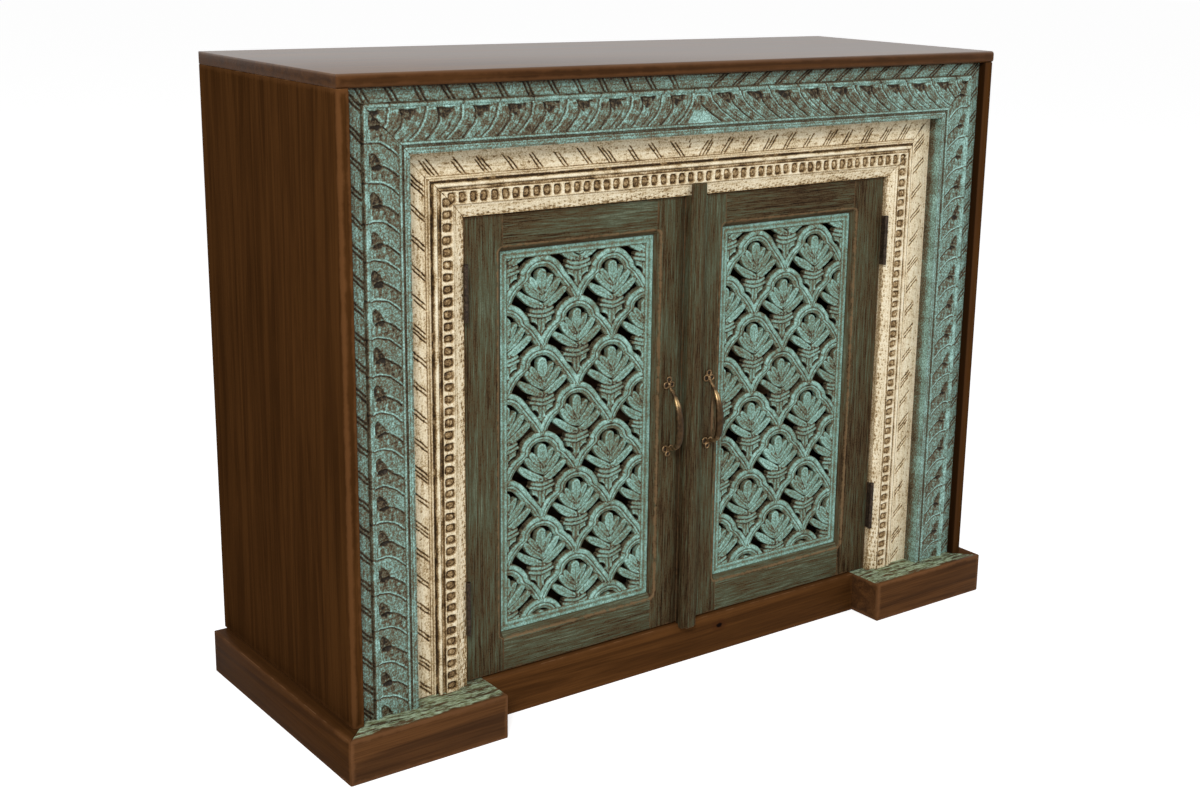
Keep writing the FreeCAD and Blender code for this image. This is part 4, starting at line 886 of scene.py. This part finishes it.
def swept_shape(u, v, stroke, finer=4):
    """Distance outside a tapered stroke, and where along (0 to 1) and aside it a spot lies."""
    stroke = np.array(stroke, float)
    steps = np.linspace(0, len(stroke) - 1, (len(stroke) - 1) * finer + 1)
    line = np.stack([np.interp(steps, np.arange(len(stroke)), stroke[:, axis]) for axis in range(3)], 1)
    for _ in range(2):
        line[1:-1] = (line[:-2] + 2 * line[1:-1] + line[2:]) / 4
    gap = np.full(u.shape, 1e9)
    along, aside, half = np.zeros(u.shape), np.zeros(u.shape), np.ones(u.shape)
    for index, ((a, b, wide), (c, d, next_wide)) in enumerate(zip(line, line[1:])):
        run, rise = c - a, d - b
        share = np.clip(((u - a) * run + (v - b) * rise) / (run ** 2 + rise ** 2), 0, 1)
        near = np.hypot(u - a - share * run, v - b - share * rise)
        here = wide + share * (next_wide - wide)
        closer = near - here < gap
        gap = np.where(closer, near - here, gap)
        along = np.where(closer, (index + share) / (len(line) - 1), along)
        aside = np.where(closer, near * np.sign(run * (v - b) - rise * (u - a)), aside)
        half = np.where(closer, here, half)
    return gap, along, aside, half


def lattice_relief(u, z):
    """Gap outside the wood, height and tone (paint, with painted highlights and shade) of the panel's carving
    at spots of its face.
    """
    level = np.floor((FIRST_CROWN - z) / ARCH_RISE)
    wood = np.full(u.shape, 1e9)
    height = np.full(u.shape, -9.0)
    tone = np.zeros(u.shape)

    def lay(gap, top, shade):
        nonlocal wood, height, tone
        wood = np.minimum(wood, gap)
        top = np.where(gap < 1.4, top, -9.0)
        # Where carving meets a lower piece of carving the tone is darkened: painted shade in the crease.
        painted_crease_shade = eased_step(1.2 - np.abs(top - height) / 0.8) * (gap < 0.6) * (height > -5)
        tone = np.where(top > height, shade, tone) - 1.5 * painted_crease_shade
        height = np.maximum(height, top)

    for lower in (1, 0):
        row = level - lower
        shift = np.where(np.mod(row, 2) == 0, ARCH_HALF, 0.0)
        cell = np.floor((u - shift + ARCH_HALF) / (2 * ARCH_HALF)) + 7 * row
        wobble = ripple(u * 0.7, z * 0.7, 2.0)
        leaf_zone = eased_step((FIRST_CROWN - z - row * ARCH_RISE - 16) / 20)
        aside_now = np.mod(u - shift + ARCH_HALF, 2 * ARCH_HALF) - ARCH_HALF
        v = z - (FIRST_CROWN - row * ARCH_RISE)
        notch = 3.4 * ridge(v, -34, 9) * np.maximum(aside_now < 0, chance(cell, 8) > 0.45)
        arch_u = aside_now + 0.5 * wobble + notch * np.sign(aside_now)
        leaf_u = aside_now + leaf_zone * (3.0 * (chance(cell, 3) - 0.5) + 0.9 * wobble)
        leaf_v = v + leaf_zone * (1.8 * (chance(cell, 5) - 0.5) + 0.8 * wobble)
        for number, stroke in enumerate(LEAVES):
            gap, along, aside, half = swept_shape(leaf_u, leaf_v, stroke)
            part = np.clip(np.abs(aside) / half, 0, 1)
            tip = np.clip(1 + gap / 2.4, 0, 1)
            dome = 2.3 * np.sqrt(np.clip(1 - tip ** 2, 0, 1)) - 0.25 * number
            rib = ridge(aside, 0, 1.1) * eased_step((0.95 - along) / 0.08)
            vein = np.sin((along * 30 - np.abs(aside) * 0.8) * 2 * math.pi / 5.2 + number)
            vein = eased_step((vein - 0.1) / 0.7) * eased_step((1 - part) / 0.3)
            vein = vein * eased_step(np.abs(aside) - 0.9)
            rim = ridge(gap, -1.5, 1.2)
            # Leaves: lighter along the rim, a painted highlight; darker at the outline, midrib and veins,
            # painted shade.
            lay(gap, 0.9 + dome - 0.9 * rib - 0.45 * vein, 0.42 - 0.9 * rib - 0.4 * vein + 0.4 * rim
                - 0.7 * eased_step((gap + 0.9) / 0.9) + 0.5 * (chance(cell + 31 * number, 2) - 0.5))
        fold = np.abs(leaf_u)
        gap, along, aside, half = swept_shape(fold, leaf_v, STEM)
        longways = (fold - EYE_ASIDE) * 0.82 + (leaf_v - EYE_DOWN) * 0.57
        sideways = (leaf_v - EYE_DOWN) * 0.82 - (fold - EYE_ASIDE) * 0.57
        eye = EYE_TALL * (1 - np.hypot(longways / EYE_LONG, sideways / EYE_TALL))
        strand = np.abs(np.mod(fold * 14 / (half + 5) + 2.0, 4) - 2)
        crease = eased_step(1 - strand / 0.9) * (fold < 11)
        # The ridge round each eye is painted lighter, the eye's own edge and the strands' creases darker:
        # painted highlight and painted shade.
        brow = ridge(eye, -1.6, 1.5)
        lay(np.maximum(gap, eye), 1.2 + 1.0 * brow - 1.4 * crease, 0.15 + 0.7 * brow - 1.3 * crease
            - 1.5 * eased_step((eye + 0.7) / 0.7))
        for number, stroke in enumerate(CUP_RIBS):
            gap, along, aside, half = swept_shape(fold, leaf_v, stroke)
            part = np.clip(np.abs(aside) / half, 0, 1)
            dome = 2.0 * np.sqrt(np.clip(1 - part ** 2, 0, 1))
            lay(gap, 0.7 + dome - 0.2 * number, 0.5 - 1.9 * part ** 2 - 0.5 * eased_step(1 - fold / 1.5))
        gap, along, aside, half = swept_shape(arch_u, v, ARCH)
        aside = aside / half
        outer = np.clip(1 - ((aside - 0.50) / 0.47) ** 2, 0, 1)
        inner = np.clip(1 - ((aside + 0.28) / 0.22) ** 2, 0, 1)
        slope = eased_step((-0.52 - aside) / 0.5)
        top = 1.3 + 2.1 * np.sqrt(outer) * (aside > 0.05)
        top = np.maximum(top, 1.3 + 1.6 * np.sqrt(inner))
        top = top + 0.6 * eased_step((-0.5 - aside) / 0.1) - 1.6 * slope
        nick = ridge(along, 0.285, 0.012) * eased_step((aside - 0.2) / 0.3)
        # The arch's ridge crowns are painted lighter, a painted highlight; its grooves, inner slope and nicks
        # darker, brown wood and painted shade.
        shade = 0.6 * outer ** 0.6 + 0.6 * inner ** 0.6 + 0.05 - 1.3 * ridge(aside, 0, 0.14)
        shade = shade - 0.9 * ridge(aside, -0.54, 0.11) - 1.3 * nick - 0.9 * eased_step((aside - 0.9) / 0.1)
        lay(gap, top - 1.3 * nick, shade + 0.3 * wobble + 0.35 * ripple(u * 2.1, z * 1.9, 4.0))
    inside = np.minimum(FIELD_HALF - np.abs(u), np.minimum(z - FIELD_LOW, FIELD_HIGH - z))
    grooves = ridge(inside, -0.8, 1.1) + 0.8 * ridge(inside, -7.0, 1.3)
    wood = np.minimum(wood, inside)
    height = np.where(inside < 0.2, 3.4 - 1.5 * grooves, height)
    tone = np.where(inside < 0.2, 0.6 - 1.7 * grooves + 0.25 * ripple(u, z, 4.0), tone)
    return wood, np.clip(height, -1.0, 3.5), tone


def panel_lines(low, first, last, high, pitch):
    """Grid places across a panel: wide apart on its border and close over the carving."""
    ends = [np.linspace(a, b, int((b - a) / 3.2) + 1) for a, b in ((low, first - 3), (last + 3, high))]
    carved = np.linspace(first - 3, last + 3, int((last - first + 6) / pitch) + 1)
    return np.concatenate((ends[0][:-1], carved, ends[1][1:]))


def lattice_panel(name, node, body, finish):
    """A grid with the carving's relief, opened where no wood is and thickened to the back."""
    low, high = (1000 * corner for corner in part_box(node))
    middle = (low[0] + high[0]) / 2
    aside = panel_lines(low[0] - middle, -FIELD_HALF, FIELD_HALF, high[0] - middle, LATTICE_PITCH)
    upright = panel_lines(low[2], FIELD_LOW, FIELD_HIGH, high[2], LATTICE_PITCH)
    columns, rows = len(aside) - 1, len(upright) - 1
    u, z = np.meshgrid(aside, upright)
    wood, height, tone = lattice_relief(u, z)
    slope_z, slope_u = np.gradient(wood, upright, aside)
    steep = np.maximum(np.hypot(slope_u, slope_z), 0.3)
    corners = (wood[:-1, :-1] + wood[1:, :-1] + wood[:-1, 1:] + wood[1:, 1:]) / 4
    kept = corners < 0.1
    used = np.zeros(wood.shape, int)
    for a, b in ((0, 0), (0, 1), (1, 0), (1, 1)):
        used[a:rows + a, b:columns + b] += kept
    ring = (used > 0) & (used < 4)
    ring[0, :] = ring[-1, :] = ring[:, 0] = ring[:, -1] = False
    shift = np.where(ring, np.clip(wood, -1.0, 1.0), 0)
    u = u - shift * slope_u / steep
    z = z - shift * slope_z / steep
    front = low[1] + 3.5 - height
    spots = np.stack((u + middle, front, z), 2)
    # Tone at the edge of each piercing is held dark: painted shade.
    piece = toned_grid(name, spots, np.where(ring, np.minimum(tone, -0.2), tone))
    bpy.ops.object.mode_set(mode="EDIT")
    bpy.ops.mesh.select_mode(type="FACE")
    bpy.ops.mesh.select_all(action="DESELECT")
    bpy.ops.object.mode_set(mode="OBJECT")
    piece.data.polygons.foreach_set("select", ~kept.reshape(-1))
    bpy.ops.object.mode_set(mode="EDIT")
    bpy.ops.mesh.delete(type="FACE")
    bpy.ops.mesh.select_all(action="SELECT")
    bpy.ops.mesh.delete_loose()
    bpy.ops.mesh.select_all(action="SELECT")
    bpy.ops.mesh.extrude_region_move(TRANSFORM_OT_translate={"value": (0, 0.01, 0)})
    bpy.ops.object.mode_set(mode="OBJECT")
    count = len(piece.data.vertices)
    places = np.zeros(count * 3, np.float32)
    piece.data.vertices.foreach_get("co", places)
    places = places.reshape(-1, 3)
    back = np.zeros(count, bool)
    piece.data.vertices.foreach_get("select", back)
    places[back, 1] = high[1] / 1000
    piece.data.vertices.foreach_set("co", places.reshape(-1))
    bpy.ops.object.mode_set(mode="EDIT")
    bpy.ops.mesh.decimate(ratio=0.3)
    bpy.ops.mesh.select_all(action="SELECT")
    bpy.ops.mesh.normals_make_consistent(inside=False)
    bpy.ops.object.mode_set(mode="OBJECT")
    bpy.ops.object.shade_smooth_by_angle(angle=math.radians(48))
    coat(piece, finish)
    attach(piece, body)
    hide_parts(node)


LATTICE_STOPS = (
    (0.08, (0.012, 0.011, 0.007)), (0.24, (0.062, 0.044, 0.022)), (0.36, (0.135, 0.108, 0.060)),
    (0.46, (0.135, 0.162, 0.106)), (0.56, (0.162, 0.270, 0.212)), (0.68, (0.245, 0.425, 0.365)),
    (0.86, (0.430, 0.680, 0.610)),
)
lattice_finish = worn_paint("worn_lattice_paint", LATTICE_STOPS, 2, 0.66, 0.14, 0.46, 0.10, 0.25)
for side in ("left", "right"):
    lattice_panel(f"{side}_lattice_carving", f"{side}_door_lattice", f"{side}_door", lattice_finish)


# Hinges: two butt hinges a door, of wrought iron blackened with age. One leaf lies in the
# frame's edge and one in the stile's edge, and their knuckles turn on a pin in front of the
# doors. Countersunk screws hold the leaves.

def iron_finish(name, dark, light, rough=0.5, metal=0.55):
    """Dark metal with lighter, rusty patches and pits."""
    finish, place = new_finish(name)
    rust = place.cloud(240.0, 5.0, 0.7)
    pits = place.cloud(800.0, 3.0, 0.6)
    colour = rust.rise(0.40, 0.62).tint(dark, light)
    colour = (pits.rise(0.56, 0.68) * 0.6).tint(colour, tuple(2.6 * shade for shade in light))
    surface(place, colour, (rust - 0.5) * 0.6 + rough, pits + rust, 0.0003, 0.4, metal=metal)
    return finish


black_iron = iron_finish("blackened_iron", (0.018, 0.012, 0.008), (0.060, 0.038, 0.022))
screw_steel = iron_finish("screw_steel", (0.050, 0.038, 0.028), (0.120, 0.095, 0.070), 0.4, 0.8)
for side in ("left", "right"):
    for level in ("top", "bottom"):
        for part, body in (("frame", "carcase"), ("door", f"{side}_door")):
            node = f"hinge_{side}_{level}_{part}_leaf"
            coat(eased_copy(node, node + "_iron", 0.0003, body), black_iron)
    coat(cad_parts[f"hinge_pins_{side}"], black_iron)
for node in ("frame_hinge_screws", "left_door_hinge_screws", "right_door_hinge_screws"):
    coat(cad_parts[node], screw_steel)


# Pulls: a bowed grip of wrought bronze on each inner stile. Its ends are drawn out thin and
# curled into a rose of three rings, and a tack through each ring holds it. The bronze is
# brown with age and lighter on the wires; where the grip swells its front is rubbed bright
# and carries a painted highlight.

PULL_ASIDE, PULL_HEIGHT, PULL_HALF, PULL_BOW, DOOR_FACE = 39.0, 412.0, 51.5, 31.2, -161.0
# From the lower end up: share of the half height, share of the bow, and radius.
GRIP = ((-1, 0.0, 2.0), (-0.95, 0.40, 2.8), (-0.86, 0.76, 3.8), (-0.7, 0.94, 4.6), (-0.4, 1.0, 5.0),
        (-0.1, 0.99, 5.0), (0.2, 0.93, 4.6), (0.5, 0.77, 3.5), (0.73, 0.49, 2.3), (1, 0.0, 1.4))
GRIP_OVAL = 1.35
CURL_STEPS = 40


def wire_piece(name, spots, radii):
    """A closed round bar along points in millimetres, with a radius at each."""
    line = bpy.data.curves.new(name, "CURVE")
    line.dimensions = "3D"
    line.bevel_depth = 0.001
    line.bevel_resolution = 4
    line.use_fill_caps = True
    run = line.splines.new("POLY")
    run.points.add(len(spots) - 1)
    for point, spot, radius in zip(run.points, spots, radii):
        point.co = (*(0.001 * value for value in spot), 1)
        point.radius = radius
    piece = bpy.data.objects.new(name, line)
    bpy.context.scene.collection.objects.link(piece)
    take_up(piece)
    bpy.ops.object.convert(target="MESH")
    bpy.ops.object.mode_set(mode="EDIT")
    bpy.ops.mesh.select_all(action="SELECT")
    bpy.ops.mesh.remove_doubles(threshold=0.000001)
    bpy.ops.mesh.normals_make_consistent(inside=False)
    bpy.ops.object.mode_set(mode="OBJECT")
    return bpy.context.object


def curl(middle_x, middle_z, start, turns, radius, open_by):
    """A flat curl against the door, from its start angle, opening out as it turns."""
    spots = []
    for index in range(CURL_STEPS + 1):
        share = index / CURL_STEPS
        angle = start + turns * 2 * math.pi * share
        reach = radius + open_by * share
        aside, rise = reach * math.cos(angle), reach * math.sin(angle)
        spots.append((middle_x + aside, DOOR_FACE - 1.5 - 1.2 * (1 - share) ** 2, middle_z + rise))
    return spots


def pull_finish():
    """Brown bronze, lighter on the wires at its ends, and rubbed bright with a painted highlight where the
    grip swells.
    """
    finish, place = new_finish("aged_bronze")
    drop = (place.axis(2) - PULL_HEIGHT / 1000).size()
    aged = place.cloud(180.0, 5.0, 0.7)
    colour = aged.rise(0.35, 0.65).tint((0.034, 0.018, 0.006), (0.090, 0.048, 0.017))
    wire = (drop + (aged - 0.5) * 0.012).rise(0.036, 0.046)
    colour = (wire * 0.9).tint(colour, aged.rise(0.4, 0.6).tint((0.130, 0.078, 0.034), (0.360, 0.225, 0.105)))
    # The front of the swell is painted bright: rubbed bronze and a painted highlight.
    swell = (place.axis(2) - PULL_HEIGHT / 1000 - 0.028).size() * -1 + (aged - 0.5) * 0.01
    swell = swell.rise(-0.011, -0.001)
    forward = place.axis(1).rise(-0.176, -0.184)
    colour = (swell * forward * 0.8).tint(colour, (0.400, 0.265, 0.120))
    surface(place, colour, (aged - 0.5) * 0.3 + 0.40 - swell * 0.1, aged, 0.0003, 0.5, metal=0.7)
    return finish


bronze = pull_finish()
for hand, side in ((-1, "left"), (1, "right")):
    middle = hand * PULL_ASIDE
    line = np.array(GRIP) * (PULL_HALF, -PULL_BOW, 1)
    reach = np.concatenate(([0], np.cumsum(np.hypot(*np.diff(line[:, :2], axis=0).T))))
    steps = np.linspace(0, reach[-1], 81)
    line = np.stack([np.interp(steps, reach, line[:, axis]) for axis in range(3)], 1)
    for _ in range(30):
        line[1:-1] = (line[:-2] + 2 * line[1:-1] + line[2:]) / 4
    spots = [(middle, DOOR_FACE + away, PULL_HEIGHT + rise) for rise, away, _ in line]
    radii = line[:, 2]
    pieces = [wire_piece(f"{side}_wrought_pull", spots, radii)]
    for point in pieces[0].data.vertices:
        point.co.x = 0.001 * middle + GRIP_OVAL * (point.co.x - 0.001 * middle)
    for end in (-1, 1):
        rose = PULL_HEIGHT + end * PULL_HALF
        for aside, rise, turns, radius, open_by in (
            (-5.0, -end * 1.1, -0.97 * end, 4.4, 0.2), (5.5, -end * 1.1, 0.94 * end, 3.8, 0.1),
            (0.0, end * 7.2, 0.96, 3.9, 0.1),
        ):
            start = math.atan2(-rise, -aside)
            spots = curl(middle + aside, rose + rise, start, turns, radius, open_by)
            radii = [1.35 - 0.25 * index / CURL_STEPS for index in range(CURL_STEPS + 1)]
            pieces.append(wire_piece("curl", spots, radii))
        knot = [(middle, DOOR_FACE - 0.3 - 4.2 * step / 8, rose) for step in range(9)]
        pieces.append(wire_piece("knot", knot, [3.0 * math.sin(0.6 + 2.3 * step / 8) for step in range(9)]))
    unpick()
    for piece in pieces:
        piece.select_set(True)
    bpy.context.view_layer.objects.active = pieces[0]
    bpy.ops.object.join()
    pull = bpy.context.object
    bpy.ops.object.shade_smooth_by_angle(angle=math.radians(60))
    coat(pull, bronze)
    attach(pull, f"{side}_door")
    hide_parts(f"{side}_door_pull")
    coat(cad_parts[f"{side}_pull_tacks"], black_iron)


# Catches: a magnet in a dark plastic case under the stop rail for each door, and a thin
# zinc plate pinned to the back of the door's top rail, which the magnet holds.

case_plastic, place = new_finish("catch_case")
scuff = place.cloud(300.0, 4.0)
colour = scuff.rise(0.4, 0.7).tint((0.022, 0.017, 0.013), (0.036, 0.028, 0.022))
surface(place, colour, (scuff - 0.5) * 0.2 + 0.5, scuff, 0.0001, 0.4)
coat(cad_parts["magnetic_catches"], case_plastic)
zinc_plate = iron_finish("zinc_plate", (0.20, 0.19, 0.175), (0.34, 0.33, 0.31), 0.42, 0.9)
for side in ("left", "right"):
    coat(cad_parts[f"{side}_door_strike_plate"], zinc_plate)
